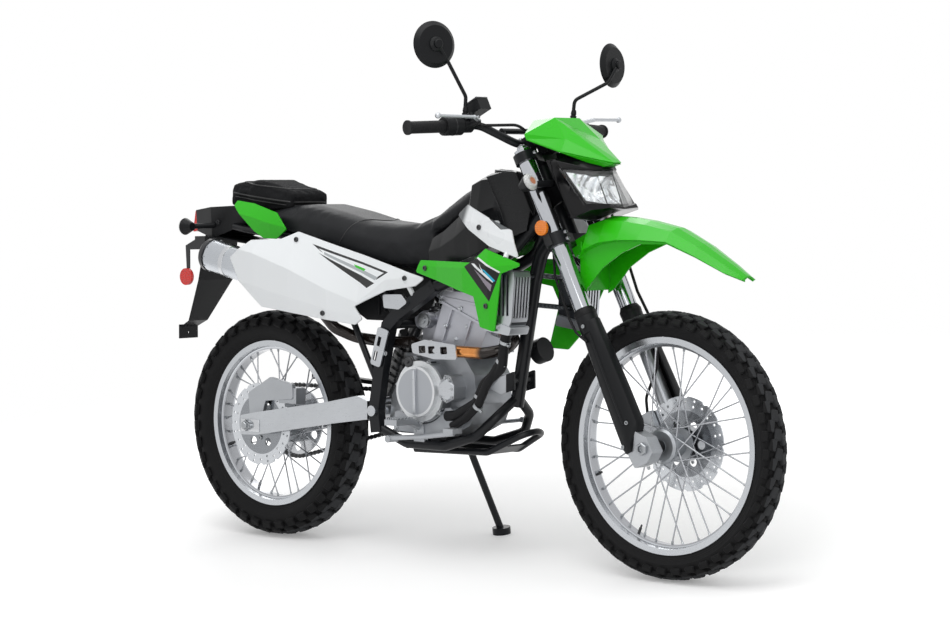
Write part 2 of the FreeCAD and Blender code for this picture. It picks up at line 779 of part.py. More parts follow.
def cowl_section(n, top_y, top_s, low_y, low_s):
    return [(n, -top_y, top_s), (n, 0, top_s + 6), (n, top_y, top_s), (n, low_y, low_s), (n, 0, low_s - 8),
            (n, -low_y, low_s)]


def lamp_room(start, end):
    """Prism inside the lamp's rim, from one distance ahead of the steering axis to another."""
    top = [(-100, 1120), (-40, 1088), (0, 1079), (40, 1088), (100, 1120)]
    low = [(92, 1023), (40, 1001), (0, 994), (-40, 1001), (-92, 1023)]
    corners = [Vector(start, y, s) for y, s in top + low]
    return Part.Face(Part.makePolygon(corners + corners[:1])).extrude(Vector(end - start, 0, 0))


def make_headlight_reflector():
    """Bright bowl behind the lens with its bulb holder."""
    block = lamp_room(LAMP_BACK_N, LAMP_BACK_N + 28)
    block = block.cut(Part.makeSphere(92, Vector(LAMP_BACK_N + 100, 0, 1052)))
    for side in (-1, 1):
        block = block.cut(Part.makeSphere(30, Vector(LAMP_BACK_N + 40, side * 74, 1058)))
    bulb = rod(Vector(LAMP_BACK_N, 0, 1050), Vector(LAMP_BACK_N + 40, 0, 1050), 10)
    tip = Part.makeSphere(10, Vector(LAMP_BACK_N + 40, 0, 1050))
    return on_fork(fused([block, bulb, tip]))


def make_headlight_shell():
    """Black cowl round the lamp, held by the fork tubes."""
    body = loft([cowl_section(66, 72, 1170, 66, 1018), cowl_section(98, 112, 1172, 96, 1002),
                 cowl_section(200, 118, 1134, 108, 986)])
    body = body.cut(lens_sheet(-5, 100)).cut(lamp_room(LAMP_BACK_N, 300))
    ears = []
    for side in (-1, 1):
        ears.append(Part.makeBox(52, 16, 60, Vector(FORK_N + 8, side * 80 - 8, 1060)))
        foot = mask_stay_end(side) - MASK_NORMAL * 40
        path = [(foot.x, foot.y, 1150), tuple(foot), tuple(mask_stay_end(side))]
        ears.append(bent_tube(path, 5, 12))
    shell = fused([body] + ears)
    for side in (-1, 1):
        shell = shell.cut(Part.makeCylinder(FORK_TUBE_R, 900, Vector(FORK_N, side * FORK_Y, 500), AXIS_Z))
    return on_fork(shell)


MASK_TOP = Vector(132, 52, 1282)
MASK_LOW = Vector(156, 74, 1206)
MASK_NORMAL = Vector(MASK_TOP.z - MASK_LOW.z, 0, MASK_LOW.x - MASK_TOP.x).normalize()
MASK_IN = Vector(-0.6 * SKIN, 0, -0.8 * SKIN)


def mask_stay_end(side):
    """Point on the back of the mask's middle facet where a stay of the cowl meets it."""
    share = 0.7
    face = MASK_TOP + (MASK_LOW - MASK_TOP) * share
    return Vector(face.x, side * 22, face.z) + MASK_IN


def make_front_mask():
    """Number-board mask above the headlight: a light middle facet and two sides."""
    right = [(70, -60, 1304), (104, -166, 1246), (103, -164, 1232), (150, -106, 1172), (196, -26, 1106)]
    left = [(n, -y, s) for n, y, s in right]
    ridge = [(p.x, side * p.y, p.z) for side in (-1, 1) for p in (MASK_TOP, MASK_LOW)]
    points = right + left + ridge + [(232, -16, 1098), (232, 16, 1098)]
    faces = [(0, 1, 10), (1, 2, 11, 10), (2, 3, 11), (3, 4, 14, 11), (10, 11, 14, 15, 13, 12),
             (0, 10, 12, 5), (5, 12, 6), (6, 12, 13, 7), (7, 13, 8), (8, 13, 15, 9), (4, 9, 15, 14)]
    return on_fork(faceted_sheet(points, faces, MASK_IN))


def signal_body(centre, forward):
    """Tapered lamp body that opens towards the way it faces."""
    return Part.makeCone(12, SIGNAL_R, 30, centre - forward * 24, forward)


def signal_lens(centre, forward):
    """Domed lens on the open face of a signal body."""
    face = centre + forward * 6
    return fused([Part.makeCylinder(SIGNAL_R - 1.5, 4, face, forward),
                  Part.makeCone(SIGNAL_R - 1.5, SIGNAL_R - 9, 8, face + forward * 4, forward)])


def front_signal_place(side):
    return Vector(66, side * 178, 1120)


def make_front_signals():
    parts = []
    for side in (-1, 1):
        centre = front_signal_place(side)
        stalk = rod(Vector(78, side * 40, 1118), centre - Vector(12, 0, 0), 9)
        parts.append(fused([signal_body(centre, Vector(1, 0, 0)), stalk]))
    return on_fork(Part.makeCompound(parts)).cut(made(make_headlight_shell))


def make_front_signal_lenses():
    return on_fork(Part.makeCompound([signal_lens(front_signal_place(side), Vector(1, 0, 0)) for side in (-1, 1)]))


def make_fork_reflectors():
    """Amber side reflectors on straps above the lower clamp."""
    parts = []
    for side in (-1, 1):
        strap = Part.makeBox(24, 8, 52, Vector(FORK_N - 16, side * 128 - 4, LOWER_CLAMP_S + 6))
        disc = rod(Vector(FORK_N - 4, side * 132, 1010), Vector(FORK_N - 4, side * 140, 1010), 20)
        parts.append(fused([strap, disc]))
    return on_fork(Part.makeCompound(parts)).cut(made(make_triple_clamps))


def make_instrument():
    box = Part.makeBox(60, 120, 34, Vector(40, -60, 1252))
    top = UPPER_CLAMP_S + UPPER_CLAMP_H
    bracket = Part.makeBox(28, 44, 30, Vector(20, -22, top))
    return on_fork(fused([box, bracket]))


def make_front_hoses():
    """Brake hose from the right lever to the left caliper, and the speed cable to the right guard."""
    brake = [(-4, -188, 1326), (60, -120, 1296), (68, -40, 1222), (70, 60, 1206), (72, 112, 1186), (44, 136, 1150),
             (43, 134, 1090), (57, 134, 1015), (60, 126, 900), (62, 112, 800), (86, 92, 690), (70, 62, 580), (0, 60, 520), (-18, 60, 470)]
    speed = [(-10, -78, 956), (-18, -100, 890), (-16, -112, 770), (0, -126, 716), (24, -128, 680)]
    hoses = [on_fork(bent_tube(brake, 4, 40)), on_fork(bent_tube(speed, 3.5, 40))]
    carriers = (make_hand_controls, make_front_caliper, make_fork_guards, make_triple_clamps)
    return Part.makeCompound([largest(hose.cut([made(make) for make in carriers])) for hose in hoses])


def make_front_caliper():
    """Two-piston caliper behind the left fork leg, open over the disc."""
    body = Part.makeBox(60, 44, 78, Vector(AXLE_N - 112, FRONT_DISC_Y - 24, AXLE_S + 40))
    slot = turned([(FRONT_DISC_Y - 5, 0), (FRONT_DISC_Y + 5, 0), (FRONT_DISC_Y + 5, FRONT_DISC_R + 5),
                   (FRONT_DISC_Y - 5, FRONT_DISC_R + 5)], Vector(AXLE_N, 0, AXLE_S))
    tab = Part.makeBox(50, 24, 40, Vector(AXLE_N - 70, FORK_Y - 34, AXLE_S + 60))
    body = fused([body.cut(slot), tab.cut(slot)])
    body = body.cut(axle_holder(1))
    body = body.cut(Part.makeCylinder(SLIDER_R, 900, Vector(FORK_N, FORK_Y, AXLE_S + 30), AXIS_Z))
    return on_fork(body)


# Frame and engine


def beam_outline_points():
    """Side view path of the main beam from under the tank to the pivot."""
    return [(716, 752), (576, 668), (542, 636), (514, 520), (PIVOT_X, 400), (PIVOT_X + 8, 338)]


def head_tube():
    low = LOWER_CLAMP_S + LOWER_CLAMP_H + HEAD_GAP
    high = UPPER_CLAMP_S - HEAD_GAP
    tube = rod(Vector(0, 0, low), Vector(0, 0, high), HEAD_R)
    return on_fork(tube)


def make_frame():
    pieces = [head_tube()]
    head_low = fork_point(-8, 0, LOWER_CLAMP_S + LOWER_CLAMP_H + 26)
    head_mid = fork_point(-10, 0, LOWER_CLAMP_S + LOWER_CLAMP_H + 110)
    down = [tuple(head_low), (1000, 0, 862), (972, 0, 770), (908, 0, 425)]
    pieces.append(bent_tube(down, 19, 90))
    for side in (-1, 1):
        top = [tuple(head_mid), (930, side * 62, 838), (700, side * 114, 743)]
        pieces.append(bent_tube(top, 17, 120))
        pieces.append(beam(beam_outline_points(), 36, side * 128, side * 100))
        cradle = [(912, 0, 450), (896, side * 70, 400), (850, side * 104, 345), (740, side * 106, 312),
                  (600, side * 106, 312), (PIVOT_X + 12, side * 112, 350)]
        pieces.append(bent_tube(cradle, 13, 50))
        rail = [(560, side * 108, 668), (430, side * 100, 819), (320, side * 98, 847), (210, side * 97, 871),
                (-60, side * 80, 896), (-110, side * 72, 903)]
        pieces.append(bent_tube(rail, 11, 80))
        stay = [(PIVOT_X + 8, side * 116, 470), (398, side * 104, 640), (200, side * 98, 868)]
        pieces.append(bent_tube(stay, 9, 60))
        hanger = [(851, 472), (889, 507), (936, 524), (937, 473), (889, 459)]
        pieces.append(plate(hanger, side * LUG_Y, side * (LUG_Y + 6), 4))
    for x, z in ((608, 312), (548, 640)):
        pieces.append(rod_y(x, z, -112, 112, 13))
    pieces.append(rod_y(918, 498, -LUG_Y, LUG_Y, 12))
    pieces.append(rod_y(-20, 893, -86, 86, 9))
    pieces.append(stand_pin(STAND_PIN_R))
    frame = fused(pieces)
    bore = on_fork(rod(Vector(0, 0, LOWER_CLAMP_S), Vector(0, 0, UPPER_CLAMP_S), STEM_R + STEM_RUN))
    frame = frame.cut(bore)
    clamps = [clamp_plate(LOWER_CLAMP_S - 20, LOWER_CLAMP_H + 20 + HEAD_GAP, 12)]
    frame = frame.cut([on_fork(c) for c in clamps])
    return frame.cut(rod_y(PIVOT_X, PIVOT_Z, -200, 200, PIVOT_R))


def make_swingarm():
    pieces = []
    axle_z = REAR_TYRE_R
    outline = [(-34, axle_z + 27), (-34, axle_z - 29), (30, axle_z - 27), (330, 352), (470, 372), (PIVOT_X + 6, 384),
               (PIVOT_X + 6, 414), (430, 436), (320, 414), (30, axle_z + 39)]
    bridge = REAR_TYRE_R + 43
    for side in (-1, 1):
        y_in = side * ARM_IN_Y
        y_out = side * (ARM_OUT_Y - 0.3)
        arm = plate(outline, y_in, y_out, 6)
        pieces.append(arm)
    pieces.append(rod_y(PIVOT_X, PIVOT_Z, -99.7, 99.7, 22))
    pieces.append(plate([(bridge, 372), (448, 384), (448, 428), (bridge, 416)], -ARM_IN_Y - 4, ARM_IN_Y + 4, 6))
    arm = fused(pieces)
    for side in (-1, 1):
        gap = plate([(PIVOT_X - 24, 330), (PIVOT_X + 40, 330), (PIVOT_X + 40, 470), (PIVOT_X - 24, 470)],
                    side * 99.7, side * 130)
        arm = arm.cut(gap)
    arm = arm.cut(rod_y(0, REAR_TYRE_R, -200, 200, REAR_AXLE_R))
    return fused([arm, pivot_bolt()])


def chain_run_z(x, side):
    """Height of the chain's top run, with side 1, or of its low run, with side -1."""
    start = REAR_TYRE_R + side * sprocket_r(REAR_TEETH)
    end = DRIVE_Z + side * sprocket_r(FRONT_TEETH)
    return start + (end - start) * x / DRIVE_X


def arm_low_z(x):
    """Height of the swingarm's lower edge ahead of the rear axle."""
    start = REAR_TYRE_R - 27
    return start + (352 - start) * (x - 30) / 300


def above_chain(lifts):
    """Points (x, z) above the chain's top run, from (x, lift) pairs."""
    return [(x, chain_run_z(x, 1) + lift) for x, lift in lifts]


def below_chain(lifts):
    """Points (x, z) about the chain's low run, from (x, lift) pairs."""
    return [(x, chain_run_z(x, -1) + lift) for x, lift in lifts]


def make_chain_guides():
    """Guard over the top run of the chain and the guide round its lower run."""
    guard = beam(above_chain([(70, 27.5), (220, 23), (380, 14.5)]), 16, 64, 96)
    guard = guard.cut(beam(above_chain([(70, 23.5), (220, 19), (380, 10.5)]), 14, 60, 92))
    hanger = plate([(300, 400), (340, 404)] + above_chain([(340, 15), (300, 19)]), 92, ARM_IN_Y)
    low = CHAIN_Y - CHAIN_W / 2 - 3
    high = CHAIN_Y + CHAIN_W / 2 + 3
    shoe = plate(below_chain([(180, 35), (250, 35), (244, -24), (186, -23)]), low, high + 6, 6)
    slot = beam(below_chain([(160, 1), (270, 1)]), 26, low + 3, high)
    feet = below_chain([(196, 24), (236, 18)])
    strap = plate(feet + [(236, arm_low_z(236) + 16), (196, arm_low_z(196) + 16)], high, ARM_IN_Y)
    return Part.makeCompound([fused([guard, hanger]), largest(fused([shoe, strap]).cut(slot))])


def pivot_bolt():
    bolt = rod_y(PIVOT_X, PIVOT_Z, -132, 132, PIVOT_R)
    heads = [rod_y(PIVOT_X, PIVOT_Z, 128, 138, 15), rod_y(PIVOT_X, PIVOT_Z, -138, -128, 15)]
    return fused([bolt] + heads)


def make_rear_axle():
    bar = rod_y(0, REAR_TYRE_R, -ARM_OUT_Y - 10, ARM_OUT_Y + 10, REAR_AXLE_R)
    parts = [bar]
    for side in (-1, 1):
        parts.append(rod_y(0, REAR_TYRE_R, side * (ARM_OUT_Y - 0.3), side * (ARM_OUT_Y + 10), 15))
    inner = (REAR_DISC_Y - DISC_T / 2 - SIDE_RUN, CHAIN_Y + SPROCKET_T / 2 + SIDE_RUN)
    parts.append(rod_y(0, REAR_TYRE_R, -ARM_IN_Y, inner[0], 14))
    parts.append(rod_y(0, REAR_TYRE_R, inner[1], ARM_IN_Y, 14))
    return fused(parts)


def make_rear_shock():
    low = Vector(446, 0, 432)
    high = Vector(548, 0, 640)
    along = (high - low).normalize()
    body = rod(low, high, 20)
    sleeve = rod(low + along * 30, low + along * 186, 28)
    pieces = [body, sleeve, rod(low + along * 178, low + along * 190, 42)]
    for i in range(7):
        pieces.append(rod(low + along * (34 + 21 * i), low + along * (45 + 21 * i), 38))
    return fused(pieces).cut(made(make_frame)).cut(made(make_swingarm))


def engine_cases():
    case = [(516, 372), (556, 338), (744, 338), (812, 372), (836, 430), (828, 510), (790, 560),
            (640, 560), (566, 512), (524, 440)]
    block = plate(case, -84, 66, 10)
    clutch = rod_y(667, 461, -84, -128, 84).fuse(rod_y(667, 461, -128, -146, 70))
    pump = plate([(746, 476), (750, 444), (770, 434), (797, 446), (799, 478), (786, 508), (764, 512)], -84, -134, 4)
    lower = plate([(556, 346), (752, 340), (790, 372), (770, 420), (560, 400)], -84, -112, 8)
    flywheel = rod_y(700, 440, 66, 108, 76)
    outlet = plate([(524, 372), (600, 350), (640, 390), (620, 450), (560, 470), (524, 440)], 94, 104, 8)
    boss = rod_y(622, 462, 60, 100, 12)
    plates = []
    for side in (-1, 1):
        plates.append(plate([(560, 500), (640, 540), (640, 560), (556, 560)], side * 50, side * 60, 4))
    rib = Part.makeBox(12, 6, 132, Vector(661, -150, 395))
    bolts = []
    for i in range(7):
        turn = math.radians(20 + 50 * i)
        bolts.append(rod_y(667 + 86 * math.cos(turn), 461 + 86 * math.sin(turn), -80, -122, 8))
    step = rod_y(700, 440, 104, 113, 52)
    filler = rod_y(628, 540, -60, -104, 15)
    front_lug = plate([(815, 462), (870, 468), (880, 484), (872, 498), (815, 506)], -LUG_Y, LUG_Y, 6)
    low_lug = plate([(582, 350), (636, 350), (624, 312), (592, 312)], -30, 30)
    covers = [block, clutch, rib, pump, lower, flywheel, step, filler, outlet, boss, front_lug, low_lug]
    return covers + plates + bolts


def cylinder():
    barrel = plate([(648, 560), (826, 560), (862, 640), (700, 706)], -68, 68, 6)
    head = plate([(700, 706), (862, 640), (888, 690), (838, 732), (716, 738), (684, 722)], -76, 76, 8)
    port = rod(Vector(856, -28, 640), Vector(884, -28, 632), 24)
    flanges = [beam([(696, 710), (868, 640)], 8, -80, 80), beam([(686, 722), (890, 694)], 7, -78, 78),
               beam([(640, 572), (836, 572)], 12, -74, 74)]
    webs = []
    for foot, top in (((690, 572), (736, 690)), ((770, 572), (806, 664))):
        webs.append(beam([foot, top], 8, -74, 74))
    cover = plate([(724, 734), (836, 728), (826, 752), (736, 756)], -58, 58, 6)
    return [barrel, head, port, cover] + flanges + webs


def carburettor():
    body = rod(Vector(566, -8, 648), Vector(676, -8, 660), 26)
    bowl = Part.makeBox(52, 60, 44, Vector(600, -40, 596))
    side = rod_y(626, 652, -8, -62, 22)
    return [body, bowl, side]


def make_engine():
    """Crankcase, cylinder, head, carburettor and output sprocket."""
    whole = fused(engine_cases() + cylinder() + carburettor() + drive_sprocket())
    return whole.cut(made(make_frame))


def exhaust_path():
    return [(884, -28, 632), (934, -34, 612), (952, -96, 586), (900, -128, 575), (700, -136, 578),
            (610, -84, 592), (500, -78, 588), (384, -78, 596), (346, -128, 624), (310, -148, 676), (262, -150, 737)]


def make_exhaust_pipe():
    return bent_tube(exhaust_path(), 16, 45).cut(made(make_engine)).cut(made(make_muffler))


def heat_shield():
    """Slotted bright shield clipped over the outside of the header."""
    blank = plate([(663, 592), (712, 606), (822, 596), (828, 556), (746, 554), (668, 568)], -158, -153, 6)
    for x in (690, 724, 768):
        blank = blank.cut(plate([(x, 588), (x + 24, 590), (x + 26, 570), (x + 2, 568)], -160, -150, 3))
    clip = rod_y(744, 577, -154, -136, 6)
    return fused([blank, clip]).cut(made(make_exhaust_pipe))


def muffler_axis():
    return Vector(-132, -150, 823), Vector(262, -150, 737)


def make_muffler():
    back, front = muffler_axis()
    along = (front - back).normalize()
    can = rod(back + along * 18, front - along * 46, 47)
    end = Part.makeCone(36, 47, 18, back, along)
    nose = Part.makeCone(47, 17, 46, front - along * 46, along)
    tip = rod(back - along * 14, back, 15)
    hanger = rod(Vector(150, -97, 872), Vector(150, -142, 800), 8)
    return fused([can, end, nose, tip, hanger]).cut(made(make_frame))


def louvres(side):
    """Upright slots in the front and the outer face of a radiator."""
    slots = []
    for i in range(5):
        y = side * (127 + 12 * i)
        slots.append(Part.makeBox(30, 6, 108, Vector(1036, y - 3, 676)))
    for i in range(5):
        slots.append(Part.makeBox(8, 16, 108, Vector(966 + 15 * i, side * 186 - 8, 682)))
    return slots


def make_radiators():
    parts = []
    lean = [(956, 672), (1034, 650), (1044, 672), (1053, 782), (1050, 800), (962, 800)]
    for side in (-1, 1):
        core = plate(lean, side * 118, side * 186, 4).cut(louvres(side))
        tank_low = plate([(950, 642), (1038, 630), (1046, 652), (958, 672)], side * 112, side * 190, 6)
        brackets = [rod(Vector(1000, side * 124, z), Vector(x, 0, z + 14), 7) for x, z in ((975, 770), (956, 690))]
        parts.append(fused([core, tank_low] + brackets).cut(made(make_frame)))
    return Part.makeCompound(parts)


def make_coolant_hoses():
    lower = [(1000, -150, 640), (980, -140, 600), (968, -134, 540), (900, -126, 492), (872, -126, 440),
             (800, -126, 402), (764, -124, 398)]
    second = [(966, -136, 556), (912, -134, 488), (884, -132, 436), (838, -130, 398), (786, -126, 372)]
    both = fused([bent_tube(lower, 14, 30), bent_tube(second, 12, 30)])
    return largest(both.cut(made(make_engine)).cut(made(make_radiators)))


def boss(side, start, end, radius=7.0):
    """Mounting post from a carrier out to a panel, given right side points as (x, y, z)."""
    return rod(Vector(start[0], side * start[1], start[2]), Vector(end[0], side * end[1], end[2]), radius)


def steering_sweep():
    """Room that the fork tubes and clamps need as they swing, as (radius, half angle) sectors."""
    room = []
    for radius, half_angle in ((152, 145), (72, 160), (52, 180)):
        sector = Part.makeCylinder(radius, 420, Vector(0, 0, 880), AXIS_Z, 2 * half_angle)
        sector.rotate(Vector(0, 0, 0), AXIS_Z, -half_angle)
        room.append(on_fork(sector))
    return room


def tank_section(x, half_top, half_low, top, low):
    return [(x, -half_low, low), (x, half_low, low), (x, half_low + 6, (low + top) / 2), (x, half_top, top - 18),
            (x, half_top * 0.6, top), (x, -half_top * 0.6, top), (x, -half_top, top - 18),
            (x, -half_low - 6, (low + top) / 2)]


def make_fuel_tank():
    body = loft([tank_section(672, 80, 92, 898, 790), tank_section(720, 88, 98, 918, 795),
                 tank_section(780, 96, 108, 956, 812), tank_section(828, 104, 114, 998, 830),
                 tank_section(838, 106, 116, 1044, 832), tank_section(872, 108, 120, 1058, 845),
                 tank_section(930, 100, 120, 1064, 872), tank_section(990, 70, 100, 1044, 905)])
    body = body.cut(steering_sweep()).cut(made(make_frame)).cut(made(make_seat))
    cap = Part.makeCylinder(34, 16, Vector(872, 0, 1050), Vector(0.1, 0, 1))
    return fused([body, cap])


def seat_section(x, half, top, low):
    return [(x, -half, low), (x, half, low), (x, half, low + 0.55 * (top - low)), (x, half * 0.82, top - 10),
            (x, half * 0.5, top), (x, -half * 0.5, top), (x, -half * 0.82, top - 10),
            (x, -half, low + 0.55 * (top - low))]


def make_seat():
    sections = [seat_section(20, 92, 952, 905), seat_section(110, 106, 960, 892), seat_section(210, 118, 965, 880),
                seat_section(320, 124, 945, 856), seat_section(430, 120, 920, 828), seat_section(520, 108, 912, 806),
                seat_section(600, 94, 914, 800), seat_section(668, 84, 942, 812)]
    body = loft(sections)
    nose = loft([seat_section(668, 84, 942, 900), seat_section(720, 78, 974, 920), seat_section(780, 66, 1016, 960),
                 seat_section(826, 50, 1050, 1000)])
    return body.fuse(nose).cut(made(make_frame))


def panel_from(outline, side, stations):
    """Moulded skin cut to a side view outline; stations are (x, [(y, z), ...]) lines of its outer face."""
    sections = []
    for x, line in stations:
        outer = [(x, y, z) for y, z in line]
        inner = [(x, y - SKIN, z) for y, z in reversed(line)]
        sections.append(outer + inner)
    skin = loft(sections).common(plate(outline, 40, 300, 5))
    return skin if side > 0 else mirrored(skin)


def side_panel(side):
    outline = [(7, 818), (80, 869), (183, 873), (235, 894), (642, 787), (703, 773), (667, 750), (561, 735),
               (460, 690), (483, 655), (460, 638), (127, 680), (43, 751)]
    form = [(-10, [(180, 910), (208, 850), (206, 760), (186, 610)]),
            (100, [(170, 910), (212, 832), (209, 740), (190, 610)]),
            (235, [(150, 915), (206, 790), (203, 710), (188, 610)]),
            (370, [(140, 900), (190, 735), (188, 680), (180, 610)]),
            (470, [(132, 890), (168, 700), (166, 660), (160, 610)]),
            (560, [(132, 860), (152, 765), (150, 740), (146, 610)]),
            (720, [(134, 850), (146, 780), (144, 750), (140, 610)])]
    return panel_from(outline, side, form)


def make_side_panels():
    parts = []
    for side in (-1, 1):
        posts = [boss(side, (238, 96, 864), (238, 170, 868)), boss(side, (373, 103, 666), (373, 185, 666)),
                 boss(side, (640, 114, 712), (632, 147, 768))]
        parts.append(fused([side_panel(side)] + posts).cut(made(make_frame)))
    return Part.makeCompound(parts)


def tail_cover(side):
    outline = [(-68, 980), (6, 972), (110, 946), (158, 899), (114, 871), (62, 872), (22, 891), (-76, 966)]
    form = [(-100, [(96, 990), (116, 950), (116, 850)]), (0, [(100, 990), (124, 935), (120, 850)]),
            (90, [(108, 990), (130, 915), (124, 850)]), (180, [(116, 990), (130, 900), (126, 850)])]
    return panel_from(outline, side, form)


def make_tail_covers():
    parts = []
    for side in (-1, 1):
        posts = [boss(side, (60, 86, 889), (60, 124, 889)), boss(side, (-30, 80, 945), (-30, 116, 945))]
        cover = fused([tail_cover(side)] + posts).cut(made(make_frame)).cut(tail_box())
        parts.append(cover.cut(made(make_seat)))
    return Part.makeCompound(parts)


def make_shrouds():
    right = [(690, 822), (916, 821), (965, 859), (1105, 819), (1029, 794), (995, 639), (941, 650), (921, 731),
             (670, 789)]
    left = [(690, 822), (916, 821), (965, 859), (1105, 819), (1060, 770), (1000, 640), (940, 572), (880, 575),
            (905, 700), (880, 745), (670, 789)]
    form = [(640, [(134, 880), (142, 806), (139, 740), (130, 560)]), (760, [(148, 880), (164, 806), (158, 730), (148, 560)]),
            (880, [(176, 880), (198, 806), (190, 720), (176, 560)]), (980, [(196, 880), (216, 812), (205, 720), (192, 560)]),
            (1120, [(202, 880), (214, 822), (206, 720), (190, 560)])]
    parts = []
    for side, outline in ((-1, right), (1, left)):
        posts = [boss(side, (712, 84, 805), (712, 152, 801)), boss(side, (970, 180, 707), (970, 202, 707))]
        shroud = fused([panel_from(outline, side, form)] + posts)
        parts.append(largest(shroud.cut(made(make_fuel_tank)).cut(made(make_radiators))))
    return Part.makeCompound(parts)


def make_upper_panels():
    outline = [(842, 948), (878, 975), (1054, 908), (1084, 835), (980, 866), (893, 910)]
    form = [(800, [(146, 1000), (160, 930), (160, 800)]), (900, [(168, 1000), (188, 930), (190, 800)]),
            (980, [(180, 1000), (202, 900), (204, 800)]), (1120, [(180, 1000), (206, 860), (206, 800)])]
    parts = []
    for side in (-1, 1):
        posts = [boss(side, (940, 100, 925), (940, 191, 925)), boss(side, (1040, 197, 852), (1040, 206, 836))]
        panel = fused([panel_from(outline, side, form)] + posts)
        parts.append(largest(panel.cut(made(make_fuel_tank)).cut(made(make_shrouds))))
    return Part.makeCompound(parts)


def tail_box():
    """Black rear end: lamp housing over the mud flap."""
    box = loft([[(-292, -50, 888), (-292, 50, 888), (-292, 56, 950), (-292, -56, 950)],
                [(-200, -78, 868), (-200, 78, 868), (-200, 84, 960), (-200, -84, 960)],
                [(-60, -70, 912), (-60, 70, 912), (-60, 100, 966), (-60, -100, 966)],
                [(16, -60, 912), (16, 60, 912), (16, 88, 944), (16, -88, 944)]])
    return box


def mud_flap():
    """Flap behind the wheel, from the lamp housing down to the plate bracket, as (x, half width, z)."""
    stations = [(-238, 66, 890), (-269, 70, 742), (-346, 38, 617), (FLAP_END_X, 34, PLATE_BAR_Z + 36)]
    sections = []
    for x, half, z in stations:
        sections.append([(x, -half, z), (x, half, z), (x + SKIN, half, z), (x + SKIN, -half, z)])
    return loft(sections)


def make_plate_bracket():
    """Number plate bracket on the foot of the mud flap, with its screw hole."""
    low = Vector(FLAP_END_X - PLATE_BAR_T, -PLATE_BAR_W / 2, PLATE_BAR_Z)
    bar = Part.makeBox(PLATE_BAR_T, PLATE_BAR_W, PLATE_BAR_H, low)
    hole = Vector(FLAP_END_X - PLATE_BAR_T - 1, 0, PLATE_BAR_Z + PLATE_BAR_H / 2 - 4)
    return bar.cut(Part.makeCylinder(PLATE_HOLE_R, PLATE_BAR_T + 2, hole, Vector(1, 0, 0)))


def make_tail_lamp():
    return plate([(-292, 890), (-316, 884), (-304, 948), (-292, 950)], -46, 46, 4)


def rear_signal_place(side):
    return Vector(-232, side * 150, 903)


def make_rear_signals():
    parts = []
    for side in (-1, 1):
        centre = rear_signal_place(side)
        stalk = rod(Vector(-190, side * 80, 906), centre + Vector(8, 0, 0), 8)
        parts.append(fused([signal_body(centre, Vector(-1, 0, 0)), stalk]).cut(tail_box()))
    return Part.makeCompound(parts)


def make_rear_signal_lenses():
    return Part.makeCompound([signal_lens(rear_signal_place(side), Vector(-1, 0, 0)) for side in (-1, 1)])


def make_side_reflector():
    """Round red side reflector hung on its strap."""
    disc = rod_y(-262, 754, -128, -118, 25)
    strap = plate([(-272, 846), (-268, 778), (-256, 778), (-256, 834), (-190, 836), (-190, 864), (-232, 864)], -118, -114)
    shelf = Part.makeBox(42, 74, 14, Vector(-232, -118, 860))
    return largest(fused([disc, strap, shelf]).cut(made(make_rear_fender)))


def inner_fender():
    """Guard sheet under the seat, from the airbox back to the lamp housing."""
    path = [(336, 700), (270, 762), (160, 812), (30, 846), (-120, 862), (-200, 874)]
    return beam(path, SKIN, -76, 76)


def make_rear_fender():
    """Lamp housing with its mud flap and the guard between wheel and seat."""
    whole = fused([tail_box(), mud_flap(), inner_fender()])
    return largest(whole.cut(made(make_frame)).cut(made(make_airbox)))


def make_airbox():
    outline = [(300, 800), (330, 700), (430, 648), (512, 648), (534, 700), (532, 808), (430, 832), (326, 856)]
    boot = rod(Vector(520, -8, 668), Vector(580, -8, 650), 24)
    box = fused([plate(outline, -84, 84, 8), boot])
    box = box.cut(made(make_engine)).cut(made(make_rear_shock)).cut(made(make_seat))
    return largest(box.cut(made(make_frame)))


def make_tool_bag():
    bag = loft([[(-124, -80, 960), (-124, 80, 960), (-118, 76, 1026), (-118, -76, 1026)],
                [(-10, -92, 946), (-10, 92, 946), (-6, 88, 1036), (-6, -88, 1036)],
                [(130, -80, 958), (130, 80, 958), (132, 74, 1000), (132, -74, 1000)]])
    return bag.cut(tail_box()).cut(made(make_seat)).cut(made(make_tail_covers))


def make_engine_guard():
    """Lower loop and plate under the engine."""
    loop = [(600, -70, 294), (860, -66, 300), (962, -44, 352), (980, 0, 362), (962, 44, 352), (860, 66, 300),
            (600, 70, 294)]
    tube = bent_tube(loop, 9, 40)
    sheet = plate([(600, 286), (860, 294), (900, 316), (898, 320), (858, 299), (600, 291)], -65, 65)
    return tube.fuse(sheet).cut(made(make_frame))


def footpegs():
    parts = []
    for side in (-1, 1):
        peg = Part.makeBox(44, 78, 16, Vector(628, 150 if side > 0 else -228, 372))
        arm = rod(Vector(652, side * 110, 362), Vector(652, side * 152, 380), 11)
        bracket = plate([(634, 314), (674, 314), (668, 386), (640, 386)], side * 100, side * 116, 4)
        parts.append(largest(fused([peg, arm, bracket]).cut(made(make_frame))))
    return parts


def foot_levers():
    brake = bent_tube([(572, -150, 328), (700, -156, 340), (820, -160, 356)], 7, 60)
    pad = Part.makeBox(34, 40, 14, Vector(800, -182, 356))
    pivot = largest(rod_y(576, 326, -160, -104, 10).cut(made(make_frame)))
    gear = bent_tube([(688, 152, 356), (760, 158, 366), (806, 160, 372)], 6, 40)
    toe = rod(Vector(800, 150, 372), Vector(800, 190, 372), 8)
    shaft = rod_y(688, 356, 60, 158, 7)
    return [fused([brake, pad, pivot]), fused([gear, toe, shaft])]


def make_foot_controls():
    parts = [largest(piece.cut(made(make_engine))) for piece in footpegs() + foot_levers()]
    return Part.makeCompound(parts)


